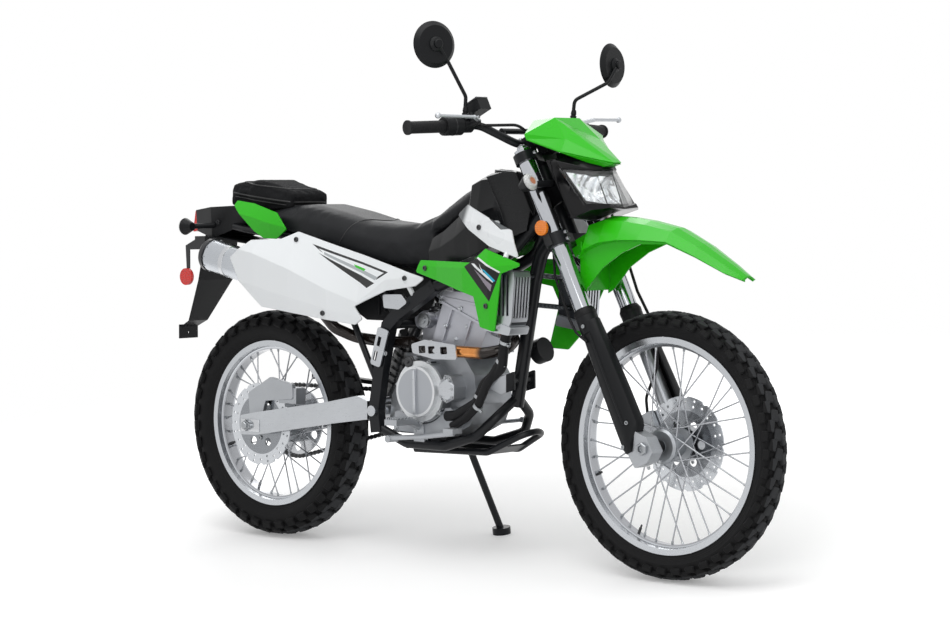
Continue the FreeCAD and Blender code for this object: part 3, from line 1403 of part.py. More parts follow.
def make_rear_caliper():
    body = Part.makeBox(70, 38, 46, REAR_AXLE + Vector(92, -96, 67))
    outline = [(-30, 91), (-24, 21), (24, 21), (40, 71), (150, 81), (150, 123), (60, 141)]
    carrier = plate([(x, REAR_TYRE_R + z) for x, z in outline], -ARM_IN_Y, -86, 8)
    slot = turned([(REAR_DISC_Y - 5, 0), (REAR_DISC_Y + 5, 0), (REAR_DISC_Y + 5, REAR_DISC_R + 5),
                   (REAR_DISC_Y - 5, REAR_DISC_R + 5)], REAR_AXLE)
    body = fused([body, carrier]).cut(slot)
    return body


def make_horn():
    disc = rod(Vector(930, 60, 570), Vector(960, 60, 580), 34)
    bracket = rod(Vector(930, 8, 560), Vector(938, 60, 572), 5)
    return largest(fused([disc, bracket]).cut(made(make_frame)))


def slotted_guard():
    blank = plate([(520, 634), (560, 624), (526, 520), (490, 530)], -137, -132, 8)
    for low, high in (((506, 540), (514, 566)), ((520, 580), (528, 606))):
        blank = blank.cut(beam([low, high], 12, -140, -130))
    pin = rod_y(524, 576, -132, -128, 5)
    return blank.fuse(pin)


def make_bright_shields():
    return Part.makeCompound([heat_shield(), slotted_guard()])


def make_coolant_bottle():
    return plate([(540, 724), (610, 726), (632, 704), (600, 684), (545, 687)], -140, -128, 6)


def stand_foot_z():
    """Height of the ground under the foot, measured with the machine upright."""
    dip = CROWN_W / 2 * math.sin(LEAN_RAD) / math.cos(LEAN_RAD)
    return FOOT_Y * math.tan(LEAN_RAD) - dip


def stand_axis():
    """Hinge direction that tucks the stand in as it folds back."""
    return Vector(0, 0.95, 0.312).normalize()


def stand_pivot():
    return Vector(STAND_X, STAND_Y, STAND_Z)


def make_side_stand():
    pivot = stand_pivot()
    axis = stand_axis()
    foot = Vector(FOOT_X, FOOT_Y, stand_foot_z() + 8)
    eye = rod(pivot - axis * 8, pivot + axis * 8, 17)
    leg = rod(pivot, foot, STAND_LEG_R)
    pad = Part.makeCylinder(26, 40, Vector(FOOT_X, FOOT_Y + 4, stand_foot_z() - 20), Vector(0, -math.tan(LEAN_RAD), 1))
    stand = fused([eye, leg, pad]).cut(stand_pin(STAND_PIN_R + HUB_RUN))
    return stand.cut(ground_below())


def stand_pin(radius):
    pivot = stand_pivot()
    return rod(pivot - stand_axis() * 24, pivot + stand_axis() * 11, radius)


NODES = {
    "frame": make_frame,
    "swingarm": make_swingarm,
    "rear_axle": make_rear_axle,
    "rear_shock": make_rear_shock,
    "engine": make_engine,
    "exhaust_pipe": make_exhaust_pipe,
    "bright_shields": make_bright_shields,
    "muffler": make_muffler,
    "radiators": make_radiators,
    "coolant_hoses": make_coolant_hoses,
    "fuel_tank": make_fuel_tank,
    "seat": make_seat,
    "side_panels": make_side_panels,
    "tail_covers": make_tail_covers,
    "shrouds": make_shrouds,
    "upper_panels": make_upper_panels,
    "rear_fender": make_rear_fender,
    "tail_lamp": make_tail_lamp,
    "plate_bracket": make_plate_bracket,
    "rear_signals": make_rear_signals,
    "rear_signal_lenses": make_rear_signal_lenses,
    "side_reflector": make_side_reflector,
    "airbox": make_airbox,
    "tool_bag": make_tool_bag,
    "engine_guard": make_engine_guard,
    "foot_controls": make_foot_controls,
    "rear_caliper": make_rear_caliper,
    "horn": make_horn,
    "coolant_bottle": make_coolant_bottle,
    "chain": make_chain,
    "chain_guides": make_chain_guides,
    "triple_clamps": make_triple_clamps,
    "fork_tubes": make_fork_tubes,
    "fork_sliders": make_fork_sliders,
    "fork_guards": make_fork_guards,
    "front_axle": make_front_axle,
    "handlebar": make_handlebar,
    "grips": make_grips,
    "hand_controls": make_hand_controls,
    "mirrors": make_mirrors,
    "mirror_glass": make_mirror_glass,
    "front_fender": make_front_fender,
    "headlight_shell": make_headlight_shell,
    "headlight_reflector": make_headlight_reflector,
    "headlight_lens": make_headlight_lens,
    "front_mask": make_front_mask,
    "front_signals": make_front_signals,
    "front_signal_lenses": make_front_signal_lenses,
    "fork_reflectors": make_fork_reflectors,
    "front_hoses": make_front_hoses,
    "instrument": make_instrument,
    "front_caliper": make_front_caliper,
    "front_wheel": make_front_wheel,
    "front_tyre": lambda: tyre(FRONT_TYRE_R, FRONT_TYRE_W, FRONT_RIM_R, FRONT_RIM_W, FRONT_AXLE, FRONT_LUGS),
    "front_disc": lambda: brake_disc(FRONT_DISC_R, 34, FRONT_AXLE_R + HUB_RUN, FRONT_DISC_Y, FRONT_AXLE),
    "rear_wheel": make_rear_wheel,
    "rear_tyre": lambda: tyre(REAR_TYRE_R, REAR_TYRE_W, REAR_RIM_R, REAR_RIM_W, REAR_AXLE, REAR_LUGS),
    "rear_disc": lambda: brake_disc(REAR_DISC_R, 38, REAR_AXLE_R + HUB_RUN, REAR_DISC_Y, REAR_AXLE),
    "rear_sprocket": make_rear_sprocket,
    "side_stand": make_side_stand,
}


def lean_and_centre(shapes):
    """Lean the machine onto its stand and put the origin under its middle."""
    lift = CROWN_W / 2 * math.sin(LEAN_RAD)
    leaning = Placement(Vector(0, 0, lift), Rotation(Vector(1, 0, 0), -LEAN))
    low = None
    for shape in shapes.values():
        shape.Placement = leaning.multiply(shape.Placement)
        box = shape.BoundBox
        low = box if low is None else low.united(box)
    shift = Vector(-(low.XMin + low.XMax) / 2, -(low.YMin + low.YMax) / 2, 0)
    for shape in shapes.values():
        shape.translate(shift)
    return shift


def main():
    os.makedirs("parts", exist_ok=True)
    shapes = {}
    for name, make in NODES.items():
        shapes[name] = made(make).copy()
    lean_and_centre(shapes)
    for name, shape in shapes.items():
        shape.exportStep("parts/" + name + ".step")


if __name__ == "__main__":
    main()
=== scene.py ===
"""Dual sport motorcycle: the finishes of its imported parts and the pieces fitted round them."""

import json
import math
from collections import namedtuple

import bmesh
import bpy
from mathutils import Matrix, Vector


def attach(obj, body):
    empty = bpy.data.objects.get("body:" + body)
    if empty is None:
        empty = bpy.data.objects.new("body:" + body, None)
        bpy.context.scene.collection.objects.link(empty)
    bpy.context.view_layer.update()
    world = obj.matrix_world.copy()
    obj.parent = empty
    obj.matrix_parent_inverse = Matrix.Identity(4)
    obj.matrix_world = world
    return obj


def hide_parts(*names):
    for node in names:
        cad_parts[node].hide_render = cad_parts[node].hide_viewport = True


bl_info = {
    "name": "Dual sport motorcycle",
    "version": (1, 0, 0),
    "blender": (4, 5, 0),
    "location": "View3D > Sidebar > Motorcycle",
    "description": "Builds the finishes, soft parts and small pieces of a dual sport motorcycle",
    "category": "Object",
}

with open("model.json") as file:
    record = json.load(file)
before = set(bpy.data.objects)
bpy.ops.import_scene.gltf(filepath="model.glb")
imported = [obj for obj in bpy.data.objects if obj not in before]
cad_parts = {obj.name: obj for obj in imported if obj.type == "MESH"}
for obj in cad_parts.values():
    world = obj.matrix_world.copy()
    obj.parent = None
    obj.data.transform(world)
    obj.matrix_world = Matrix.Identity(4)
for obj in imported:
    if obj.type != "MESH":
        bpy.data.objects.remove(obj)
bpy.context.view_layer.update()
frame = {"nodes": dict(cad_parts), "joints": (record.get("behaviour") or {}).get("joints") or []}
NODES = frame["nodes"]
REAR_SPIN = next(joint for joint in frame["joints"] if joint["name"] == "rear_wheel_spin")

# Places are written with the machine upright, as it is measured: x forward, y to its left
# and z up, from the ground point under the rear axle, in millimetres.
# A wheel's axle is at x and z, and z is the tyre's radius too, because it stands on the ground.
Wheel = namedtuple("Wheel", "end x z rim_r rim_w tyre_w hub_r spokes blocks")
FRONT = Wheel("front", 1430, 351, 284, 57, 84, 52, 36, 44)
REAR = Wheel("rear", 0, 329, 242, 69, 112, 64, 32, 38)

# The machine as it stands: leaning about the line under its rear axle
ACROSS = Vector(REAR_SPIN["axis"])
LEAN = math.atan2(-ACROSS.z, ACROSS.y)
PARKED = (Matrix.Translation(Vector(REAR_SPIN["pos_m"])) @ Matrix.Rotation(-LEAN, 4, "X")
          @ Matrix.Translation((0, 0, -REAR.z / 1000)))
UPRIGHT = PARKED.inverted()

# Steering head: where its axis meets the ground, and its rake
HEAD_X = 1535
RAKE = math.radians(26.5)
# Fork legs: ahead of the steering axis and beside it, and the front axle in the fork's axes
LEG_N = 28
LEG_Y = 97
AXLE_N = 62.6
AXLE_S = 361

# The camera that took the photograph, upright with the machine
CAMERA_AT = Vector((5.690006, -5.734282, 1.048633))
CAMERA_AZIMUTH = math.radians(40.7003)
CAMERA_ELEVATION = math.radians(2.7397)
LENS_MM = 104.18
SENSOR_MM = 36.0

# Chain drive
CHAIN_Y = 78
CHAIN_PITCH = 15.875
REAR_TEETH = 42
FRONT_TEETH = 14
DRIVE_X = 556
DRIVE_Z = 402

# Engine covers: the clutch's middle on the right and the generator's on the left
CLUTCH = (667, 461)
GENERATOR = (700, 440)

# Rays that look for a surface start this far out, in millimetres
FAR_OUT = 600
# Sewn cords stand this far off the cover under them, in metres
PROUD = 0.0006
# Points nearer than this are one, in metres
MERGE = 0.00001
# Frames that a soft piece takes to fill
AIR_FRAMES = 20

# Outputs of the Texture Coordinate and Light Path nodes, by their number
OBJECT_PLACE = 3
CAMERA_RAY = 0
GLOSSY_RAY = 3
TRANSMISSION_RAY = 6


def at(x, y, z):
    """A place on the upright machine, from millimetres."""
    return Vector((x, y, z)) / 1000


def on_fork(n, y, s):
    """A place in the fork's axes: n ahead of the steering axis and s up along it."""
    x = HEAD_X + n * math.cos(RAKE) - s * math.sin(RAKE)
    return at(x, y, n * math.sin(RAKE) + s * math.cos(RAKE))


FORK_AHEAD = (on_fork(100, 0, 0) - on_fork(0, 0, 0)).normalized()
FORK_UP = (on_fork(0, 0, 100) - on_fork(0, 0, 0)).normalized()
FORK_TURN = Matrix((FORK_AHEAD, Vector((0, 1, 0)), FORK_UP)).transposed().to_4x4()


def polar(x, z, reach, turn):
    """The (x, z) place at a reach and a turn round a middle."""
    return x + reach * math.cos(turn), z + reach * math.sin(turn)


def sideways(side):
    """The way across the machine: 1 is to its left and -1 to its right."""
    return Vector((0, side, 0))


class Port:
    """An output socket. An expression on it adds the Math nodes that it needs."""

    def __init__(self, shader, socket):
        self.shader = shader
        self.socket = socket

    def math(self, operation, *values):
        inputs = dict(enumerate(values))
        return self.shader.node("ShaderNodeMath", {"operation": operation}, inputs)[0]

    def __add__(self, other):
        return self.math("ADD", self, other)

    def __radd__(self, other):
        return self.math("ADD", other, self)

    def __sub__(self, other):
        return self.math("SUBTRACT", self, other)

    def __rsub__(self, other):
        return self.math("SUBTRACT", other, self)

    def __mul__(self, other):
        return self.math("MULTIPLY", self, other)

    def __rmul__(self, other):
        return self.math("MULTIPLY", other, self)

    def above(self, level):
        return self.math("GREATER_THAN", self, level)

    def below(self, level):
        return self.math("LESS_THAN", self, level)

    def top(self, other):
        """The higher of two values."""
        return self.math("MAXIMUM", self, other)

    def size(self):
        """The value without its sign."""
        return self.math("ABSOLUTE", self)

    def wave(self, period):
        """A sine along the value, from -1 to 1."""
        return self.math("SINE", self * (2 * math.pi / period))

    def ridges(self, period):
        """Sharp ridges along the value, from 0 to 1."""
        return self.math("PINGPONG", self, period / 2) * (2 / period)

    def smooth(self, low, high):
        """0 below low and 1 above high, with an eased step between."""
        settings = {"interpolation_type": "SMOOTHSTEP"}
        values = {"Value": self, "From Min": low, "From Max": high}
        return self.shader.node("ShaderNodeMapRange", settings, values)[0]


class Shader:
    """Builds the nodes of a material or a world round its surface node."""

    def __init__(self, owner, surface):
        owner.use_nodes = True
        self.owner = owner
        self.tree = owner.node_tree
        self.surface = self.tree.nodes[surface]
        self.spot = None

    def node(self, kind, settings=None, values=None):
        """Add any node: its settings first, then the values or links of its sockets."""
        node = self.tree.nodes.new(kind)
        for key, value in (settings or {}).items():
            setattr(node, key, value)
        for key, value in (values or {}).items():
            self.feed(node.inputs[key], value)
        return [Port(self, output) for output in node.outputs]

    def feed(self, socket, value):
        if isinstance(value, Port):
            self.tree.links.new(value.socket, socket)
        else:
            socket.default_value = value

    def set(self, **values):
        """Feed sockets of the surface, named with underscores for spaces."""
        for key, value in values.items():
            self.feed(self.surface.inputs[key.replace("_", " ")], value)

    def vector(self, operation, *values):
        """Both outputs of a Vector Math node."""
        return self.node("ShaderNodeVectorMath", {"operation": operation}, dict(enumerate(values)))

    def place(self):
        """Position on the object as the upright machine has it, in metres."""
        if self.spot is None:
            coordinates = self.node("ShaderNodeTexCoord")[OBJECT_PLACE]
            values = {"Vector": coordinates, "Location": UPRIGHT.translation,
                      "Rotation": UPRIGHT.to_euler()}
            self.spot = self.node("ShaderNodeMapping", {"vector_type": "POINT"}, values)[0]
        return self.spot

    def along(self, direction, origin=(0, 0, 0)):
        """Distance in metres along a direction from an origin, on the upright machine."""
        way = Vector(direction).normalized()
        return self.vector("DOT_PRODUCT", self.place(), way)[1] - way.dot(Vector(origin))

    def axes(self):
        """The x, y and z of the place on the upright machine."""
        return self.node("ShaderNodeSeparateXYZ", None, {0: self.place()})

    def radius(self, x, z):
        """Distance in metres from the line across the machine at x and z, in millimetres."""
        flat = self.vector("MULTIPLY", self.place(), (1, 0, 1))[0]
        return self.vector("DISTANCE", flat, at(x, 0, z))[1]

    def inside(self, *corners):
        """1 inside a convex outline of (x, z) corners in millimetres, seen from the side."""
        pairs = list(zip(corners, corners[1:] + corners[:1]))
        turn = 1 if sum(a[0] * b[1] - b[0] * a[1] for a, b in pairs) > 0 else -1
        mask = 1.0
        for (x0, z0), (x1, z1) in pairs:
            edge = self.along((turn * (z0 - z1), 0, turn * (x1 - x0)), at(x0, 0, z0))
            mask = edge.above(0.0) * mask
        return mask

    def noise(self, scale, detail=3.0, stretch=None):
        """Noise from 0 to 1, finer with a larger scale and longer along a small stretch."""
        vector = self.place()
        if stretch:
            vector = self.vector("MULTIPLY", vector, stretch)[0]
        values = {"Vector": vector, "Scale": scale, "Detail": detail}
        return self.node("ShaderNodeTexNoise", None, values)[0]

    def mix(self, factor, first, second):
        """Colour from the first to the second."""
        values = {0: factor, 6: first, 7: second}
        return self.node("ShaderNodeMix", {"data_type": "RGBA"}, values)[2]

    def bump(self, height, strength, distance, rounding=0.0):
        """Feed a height, in metres for a height of 1, and rounded edges to the normal."""
        values = {"Strength": strength, "Distance": distance, "Height": height}
        if rounding:
            values["Normal"] = self.node("ShaderNodeBevel", {"samples": 4}, {"Radius": rounding})[0]
        self.set(Normal=self.node("ShaderNodeBump", None, values)[0])


def rgb(hexadecimal):
    """Linear colour from an sRGB hexadecimal one."""
    channels = [int(hexadecimal[i:i + 2], 16) / 255 for i in (0, 2, 4)]
    linear = [c / 12.92 if c <= 0.04045 else ((c + 0.055) / 1.055) ** 2.4 for c in channels]
    return (*linear, 1.0)


def darker(colour, share):
    """The colour with a share of its light taken away."""
    return tuple(channel * (1 - share) for channel in colour[:3]) + (1.0,)


def new_finish(name):
    """A new material round a Principled BSDF."""
    return Shader(bpy.data.materials.new(name), "Principled BSDF")


# Finishes

GREEN = rgb("2bb60e")
WHITE = rgb("e4e7e9")
SATIN = rgb("161719")
DEEP = rgb("0b0b0d")
ALLOY = rgb("c3c6ca")
CAST = rgb("b3b6ba")
STEEL = rgb("cdcfd2")


def moulded(name, colour, roughness, grain=900, depth=0.00006, coat=0.0, shade=0.08,
            rounding=0.0016, gloss=0.5):
    """Moulded plastic or paint: a slow drift of tone, a fine grain and rounded edges."""
    shader = new_finish(name)
    slow = shader.noise(14, 2)
    shader.set(Base_Color=shader.mix(slow, darker(colour, shade), colour))
    shader.set(Roughness=roughness * 0.85 + slow * (roughness * 0.3), Specular_IOR_Level=gloss)
    shader.set(Coat_Weight=coat, Coat_Roughness=0.08)
    shader.bump(shader.noise(grain, 2), 0.3, depth, rounding)
    return shader


def casting(name, colour, roughness, metal=0.85, grain=900, depth=0.00025):
    """Sand or die cast alloy: pitted skin, darker in its pits, with rounded edges."""
    shader = new_finish(name)
    slow = shader.noise(11, 2)
    pits = shader.noise(grain, 4)
    tone = slow * 0.5 + pits.smooth(0.35, 0.6) * 0.5
    shader.set(Base_Color=shader.mix(tone, darker(colour, 0.3), colour), Metallic=metal)
    shader.set(Roughness=roughness * 1.2 - pits * (roughness * 0.4))
    shader.bump(pits, 0.3, depth, 0.0018)
    return shader


def brushed(name, colour, roughness, stretch, depth=0.00004):
    """Metal with fine lines along one direction."""
    shader = new_finish(name)
    lines = shader.noise(500, 3, stretch)
    slow = shader.noise(9, 2)
    tone = slow * 0.5 + lines * 0.5
    shader.set(Base_Color=shader.mix(tone, darker(colour, 0.25), colour), Metallic=1.0)
    shader.set(Roughness=roughness * 0.7 + lines * (roughness * 0.6))
    shader.bump(lines, 0.25, depth, 0.001)
    return shader


def lens(name, colour, roughness, see_through, ribs=0.0):
    """Clear or tinted moulding with fine ribs."""
    shader = new_finish(name)
    haze = shader.noise(60, 2)
    shader.set(Base_Color=colour, Roughness=roughness + haze * 0.03)
    shader.set(Transmission_Weight=see_through, IOR=1.45)
    if ribs:
        x, y, z = shader.axes()
        shader.bump(x.wave(ribs) + y.wave(ribs) + z.wave(ribs), 0.5, ribs * 0.12)
    return shader


def finish_frame_paint():
    """Dark paint, with the engine's front bracket left in bright alloy."""
    shader = moulded("frame_paint", rgb("17191c"), 0.3, grain=260, depth=0.00004, shade=0.15, gloss=0.22)
    bracket = shader.inside((845, 466), (889, 453), (908, 458), (908, 522), (884, 512))
    tone = shader.noise(14, 2)
    colour = shader.mix(tone, rgb("131417"), rgb("191b1e"))
    shader.set(Base_Color=shader.mix(bracket, colour, rgb("b4b7bb")), Metallic=bracket * 0.8)
    return shader


def black_plastic(name):
    """Dark moulding with a fine, dull grain."""
    return moulded(name, SATIN, 0.42, grain=1600, depth=0.0001, gloss=0.16)


def finish_black_plastic():
    return black_plastic("black_plastic")


def finish_controls():
    """Black housings with bright levers."""
    shader = black_plastic("control_plastic")
    y = shader.axes()[1]
    ahead = shader.along(FORK_AHEAD, on_fork(22, 0, 0)).above(0.0)
    lever = ahead * y.size().above(0.216)
    shader.set(Base_Color=shader.mix(lever, SATIN, rgb("b9bcc0")), Metallic=lever * 0.9)
    return shader


def finish_cowl():
    return moulded("cowl_plastic", DEEP, 0.18, grain=500, depth=0.00003, gloss=0.2)


def finish_tank():
    return moulded("tank_shell", rgb("121315"), 0.24, grain=700, depth=0.00004, shade=0.2,
                   rounding=0.004, gloss=0.22)


def green_plastic(name):
    """Glossy green moulding of the body panels."""
    return moulded(name, GREEN, 0.26, grain=120, depth=0.00002, coat=0.12, shade=0.05,
                   rounding=0.002, gloss=0.22)


def finish_green():
    return green_plastic("green_plastic")


def finish_shroud():
    """Green with the dark band and its pale stripes."""
    shader = green_plastic("shroud_plastic")
    band = shader.inside((941, 837), (1029, 799), (983, 719), (891, 810))
    rim = shader.inside((941, 837), (1029, 799), (1024, 796), (937, 833))
    streak = shader.inside((918, 819), (930, 819), (1006, 776), (1000, 770))
    second = shader.inside((931, 805), (996, 764), (990, 746))
    flash = shader.inside((962, 806), (976, 802), (1010, 775), (1002, 772))
    wedge = shader.inside((951, 820), (968, 799), (964, 797))
    colour = shader.mix(band, GREEN, DEEP)
    colour = shader.mix(second * band, colour, rgb("8d8490"))
    colour = shader.mix(streak.top(rim).top(wedge) * band, colour, WHITE)
    shader.set(Base_Color=shader.mix(flash * band, colour, rgb("2aa9cc")))
    return shader


def white_plastic(name, roughness, rounding):
    """Glossy white moulding of the body panels."""
    return moulded(name, WHITE, roughness, grain=120, depth=0.00002, coat=0.3, shade=0.03,
                   rounding=rounding)


def finish_upper_panel():
    """White, fading to grey at its rear end, with a black facet above painted grey as painted sheen."""
    shader = white_plastic("upper_panel_plastic", 0.28, 0.002)
    fade = shader.along((1, 0, -0.2), at(862, 0, 940)).smooth(0.002, 0.026)
    # Painted sheen: the black glossy facet above is painted mid grey for the light on its gloss.
    facet = shader.inside((955, 950), (1018, 910), (1052, 912), (1014, 960), (982, 990))
    edge = shader.inside((955, 950), (1018, 910), (1013, 916), (962, 948))
    colour = shader.mix(fade, rgb("4c4f52"), WHITE)
    colour = shader.mix(facet, colour, rgb("54585a"))
    shader.set(Base_Color=shader.mix(edge, colour, DEEP))
    return shader


def finish_side_panel():
    """White with the dark wedge, its outline and the grey stripe."""
    shader = white_plastic("side_panel_plastic", 0.3, 0.004)
    outline = shader.inside((294, 861), (568, 786), (530, 765), (328, 840))
    window = shader.inside((318, 848), (553, 784), (529, 771), (338, 836))
    stripe = shader.inside((341, 838), (534, 771), (524, 763), (341, 832))
    wedge = shader.inside((320, 837), (523, 755), (498, 741))
    dash = shader.inside((444, 806), (486, 793), (480, 787), (452, 797))
    colour = shader.mix(outline, WHITE, DEEP)
    colour = shader.mix(window, colour, WHITE)
    colour = shader.mix(stripe, colour, rgb("a3a8ab"))
    colour = shader.mix(wedge, colour, DEEP)
    shader.set(Base_Color=shader.mix(dash * window, colour, GREEN))
    return shader


def finish_cast():
    return casting("cast_alloy", CAST, 0.4)


def finish_engine():
    """Cast cases: a bright clutch cover with a duller middle, a pale cylinder and dark joints."""
    shader = casting("engine_alloy", rgb("b2b5b9"), 0.36, metal=0.6)
    y, z = shader.axes()[1:]
    reach = shader.radius(*CLUTCH)
    cover_r = 0.0865
    cover = reach.below(cover_r) * y.below(-0.12)
    dish = reach.below(0.063) * cover
    barrel = z.smooth(0.56, 0.60)
    deep = shader.noise(16, 2)
    colour = shader.mix(deep, rgb("7f8287"), rgb("aaadb1"))
    colour = shader.mix(barrel, colour, shader.mix(deep, rgb("a8aab1"), rgb("bfc0c8")))
    colour = shader.mix(cover, colour, rgb("d3d5d7"))
    colour = shader.mix(dish, colour, rgb("a5a8ad"))
    rim = reach.above(cover_r) * reach.below(cover_r + 0.004) * y.below(-0.10)
    shader.set(Base_Color=shader.mix(rim, colour, rgb("3c3e41")))
    return shader


def finish_machined():
    return brushed("machined_alloy", ALLOY, 0.3, (0.08, 1, 1))


def finish_muffler():
    return brushed("brushed_can", rgb("bfc3c8"), 0.26, (0.05, 1, 1))


def finish_radiator():
    """Bright louvres and tanks, with painted shade on the core behind them and its fins as ridges of tone.
    """
    shader = brushed("radiator_alloy", rgb("b4b7bb"), 0.34, (1, 1, 0.1))
    x, y = shader.axes()[:2]
    side = shader.inside((951, 674), (1040, 656), (1049, 790), (960, 794))
    # Painted shade: the core behind the louvres is painted dark, with lighter ridges for its fins.
    core = y.size().below(0.181) * side
    tone = shader.mix(x.ridges(0.004), rgb("2a2c2f"), rgb("505356"))
    shader.set(Base_Color=shader.mix(core, rgb("b4b7bb"), tone))
    return shader


def finish_steel():
    return brushed("bright_steel", STEEL, 0.2, (1, 1, 0.2))


def finish_chrome():
    return brushed("polished_tube", rgb("c2c5ca"), 0.09, (1, 1, 0.05), depth=0.000005)


def finish_disc():
    """Ground steel: fine circles on the track and a darker carrier."""
    shader = new_finish("ground_steel")
    front = shader.radius(FRONT.x, FRONT.z)
    rear = shader.radius(REAR.x, REAR.z)
    reach = front.math("MINIMUM", front, rear)
    lines = reach.wave(0.0011) * 0.5 + shader.noise(700, 2) * 0.5
    track = reach.above(0.088)
    shader.set(Base_Color=shader.mix(track, rgb("8d9094"), rgb("c9ccd0")), Metallic=1.0)
    shader.set(Roughness=0.22 + lines * 0.12)
    shader.bump(lines, 0.2, 0.00004)
    return shader


def wheel_finish(wheel):
    """Bright rim and spokes with a cast hub and dark bearing seats."""
    shader = new_finish(wheel.end + "_wheel_metal")
    reach = shader.radius(wheel.x, wheel.z)
    rim = reach.above((wheel.rim_r - 22) / 1000)
    hub = reach.below(wheel.hub_r / 1000)
    grain = shader.noise(700, 3)
    colour = shader.mix(rim, rgb("a6a8ac"), rgb("bdc0c4"))
    y = shader.axes()[1]
    socket = reach.below(0.034) * y.size().above(0.047)
    colour = shader.mix(hub, colour, rgb("96999d"))
    shader.set(Base_Color=shader.mix(socket, colour, rgb("232427")), Metallic=0.96)
    shader.set(Roughness=0.2 + hub * 0.2 + grain * 0.08)
    shader.bump(grain, 0.15, 0.00006)
    return shader


def finish_front_wheel():
    return wheel_finish(FRONT)


def finish_rear_wheel():
    return wheel_finish(REAR)


def tyre_finish(wheel):
    """Rubber with moulded rings on its side wall, and lug tops painted lighter as painted light."""
    shader = new_finish(wheel.end + "_tyre_rubber")
    reach = shader.radius(wheel.x, wheel.z)
    tread = reach.above((wheel.z - 9) / 1000)
    bead = reach.below((wheel.rim_r + 16) / 1000)
    rings = reach.wave(0.0052) * bead
    fine = shader.noise(900, 3)
    slow = shader.noise(20, 2)
    colour = shader.mix(slow, rgb("0d0d0e"), rgb("161617"))
    # Painted light: the lug tops are painted lighter, where light falls on the tread.
    lit_lug_tops = tread * (0.5 + fine * 0.5)
    shader.set(Base_Color=shader.mix(lit_lug_tops, colour, rgb("38393b")))
    shader.set(Roughness=0.6 + fine * 0.25, Specular_IOR_Level=0.18)
    shader.bump(rings * 0.6 + fine * 0.5, 0.5, 0.0008, 0.0016)
    return shader


def finish_front_tyre():
    return tyre_finish(FRONT)


def finish_rear_tyre():
    return tyre_finish(REAR)


def finish_exhaust():
    """Steel that heat has turned gold near the head, and dark at its ends."""
    shader = brushed("heated_steel", rgb("c58a35"), 0.2, (0.3, 1, 1))
    x = shader.axes()[0]
    hot = x.smooth(0.785, 0.80) * (1 - x.smooth(0.875, 0.90))
    ripple = shader.noise(26, 2)
    gold = shader.mix(ripple, rgb("b0642a"), rgb("e6a868"))
    tone = shader.mix(ripple, rgb("131010"), rgb("2a221e"))
    shader.set(Base_Color=shader.mix(hot, tone, gold), Metallic=0.4 + hot * 0.5)
    return shader


def finish_rubber():
    return moulded("rubber", rgb("0f0f11"), 0.5, grain=700, depth=0.0001, gloss=0.18)


def finish_grip():
    """Rubber with rings round it."""
    shader = moulded("grip_rubber", rgb("0f0f11"), 0.6, depth=0.0001, gloss=0.25)
    y = shader.axes()[1]
    shader.bump(y.ridges(0.0055) + shader.noise(900, 2) * 0.2, 0.8, 0.0012)
    return shader


def finish_seat():
    """Vinyl with a fine grain."""
    shader = new_finish("seat_vinyl")
    values = {"Vector": shader.place(), "Scale": 620}
    cells = shader.node("ShaderNodeTexVoronoi", {"feature": "SMOOTH_F1"}, values)[0]
    slow = shader.noise(12, 3)
    shader.set(Base_Color=shader.mix(slow, rgb("101113"), rgb("1b1c1f")))
    shader.set(Roughness=0.42 + cells * 0.25, Specular_IOR_Level=0.2)
    shader.bump(cells + slow * 2.0, 0.4, 0.0004)
    return shader


def finish_cloth():
    """Woven nylon: two crossing ribs with a soft drift of tone."""
    shader = new_finish("bag_nylon")
    x, y, z = shader.axes()
    weave = (x + z).wave(0.0022) * (y + z).wave(0.0022)
    slow = shader.noise(30, 3)
    tone = slow * 0.6 + weave * 0.2
    shader.set(Base_Color=shader.mix(tone, rgb("0c0c0e"), rgb("1b1c1e")))
    shader.set(Roughness=0.75 + slow * 0.15, Specular_IOR_Level=0.15)
    shader.bump(weave * 0.6 + slow, 0.5, 0.0007)
    return shader


def finish_piping():
    return moulded("piping", rgb("0e0e10"), 0.45, grain=1200, depth=0.0001)


def finish_clear():
    return lens("clear_lens", rgb("f6f8f9"), 0.02, see_through=0.97)


def finish_signal_lens():
    """Clear ribbed dome with the amber bulb in its middle."""
    shader = lens("ribbed_lens", rgb("e9ebea"), 0.1, see_through=0.35, ribs=0.006)
    bulb = None
    spots = [on_fork(84, side * 178, 1120) for side in (-1, 1)]
    spots += [at(-262, side * 150, 903) for side in (-1, 1)]
    for spot in spots:
        near = 1 - shader.vector("DISTANCE", shader.place(), spot)[1].smooth(0.008, 0.013)
        bulb = near if bulb is None else bulb.top(near)
    shader.set(Base_Color=shader.mix(bulb * 0.85, rgb("e9ebea"), rgb("e07b2c")))
    return shader


def finish_amber():
    """Amber moulding with a grid of small prisms."""
    shader = new_finish("amber_lens")
    x, y, z = shader.axes()
    middle = on_fork(24, 0, 1010)
    disc = shader.radius(middle.x * 1000, middle.z * 1000).below(0.0204)
    disc = disc * y.size().above(0.1325)
    prisms = z.ridges(0.005) + x.ridges(0.005)
    amber = shader.mix(prisms * 0.4, rgb("e8700a"), rgb("ff9d2e"))
    shader.set(Base_Color=shader.mix(disc, SATIN, amber))
    shader.set(Roughness=0.4 - disc * 0.28)
    shader.bump(prisms * disc, 0.7, 0.0012)
    return shader


def finish_red():
    """Red lamp and reflector, the reflector hung on a black strap."""
    shader = new_finish("red_lens")
    x, y, z = shader.axes()
    reflector = shader.radius(-262, 754).below(0.0255) * y.below(-0.1182)
    red = reflector.top(x.below(-0.283))
    prisms = z.ridges(0.006) + (x + y).ridges(0.006)
    glow = shader.mix(prisms * 0.3, rgb("c4120e"), rgb("f0392b"))
    shader.set(Base_Color=shader.mix(red, SATIN, glow))
    shader.set(Roughness=0.4 - red * 0.28)
    shader.bump(prisms * red, 0.6, 0.0012)
    return shader


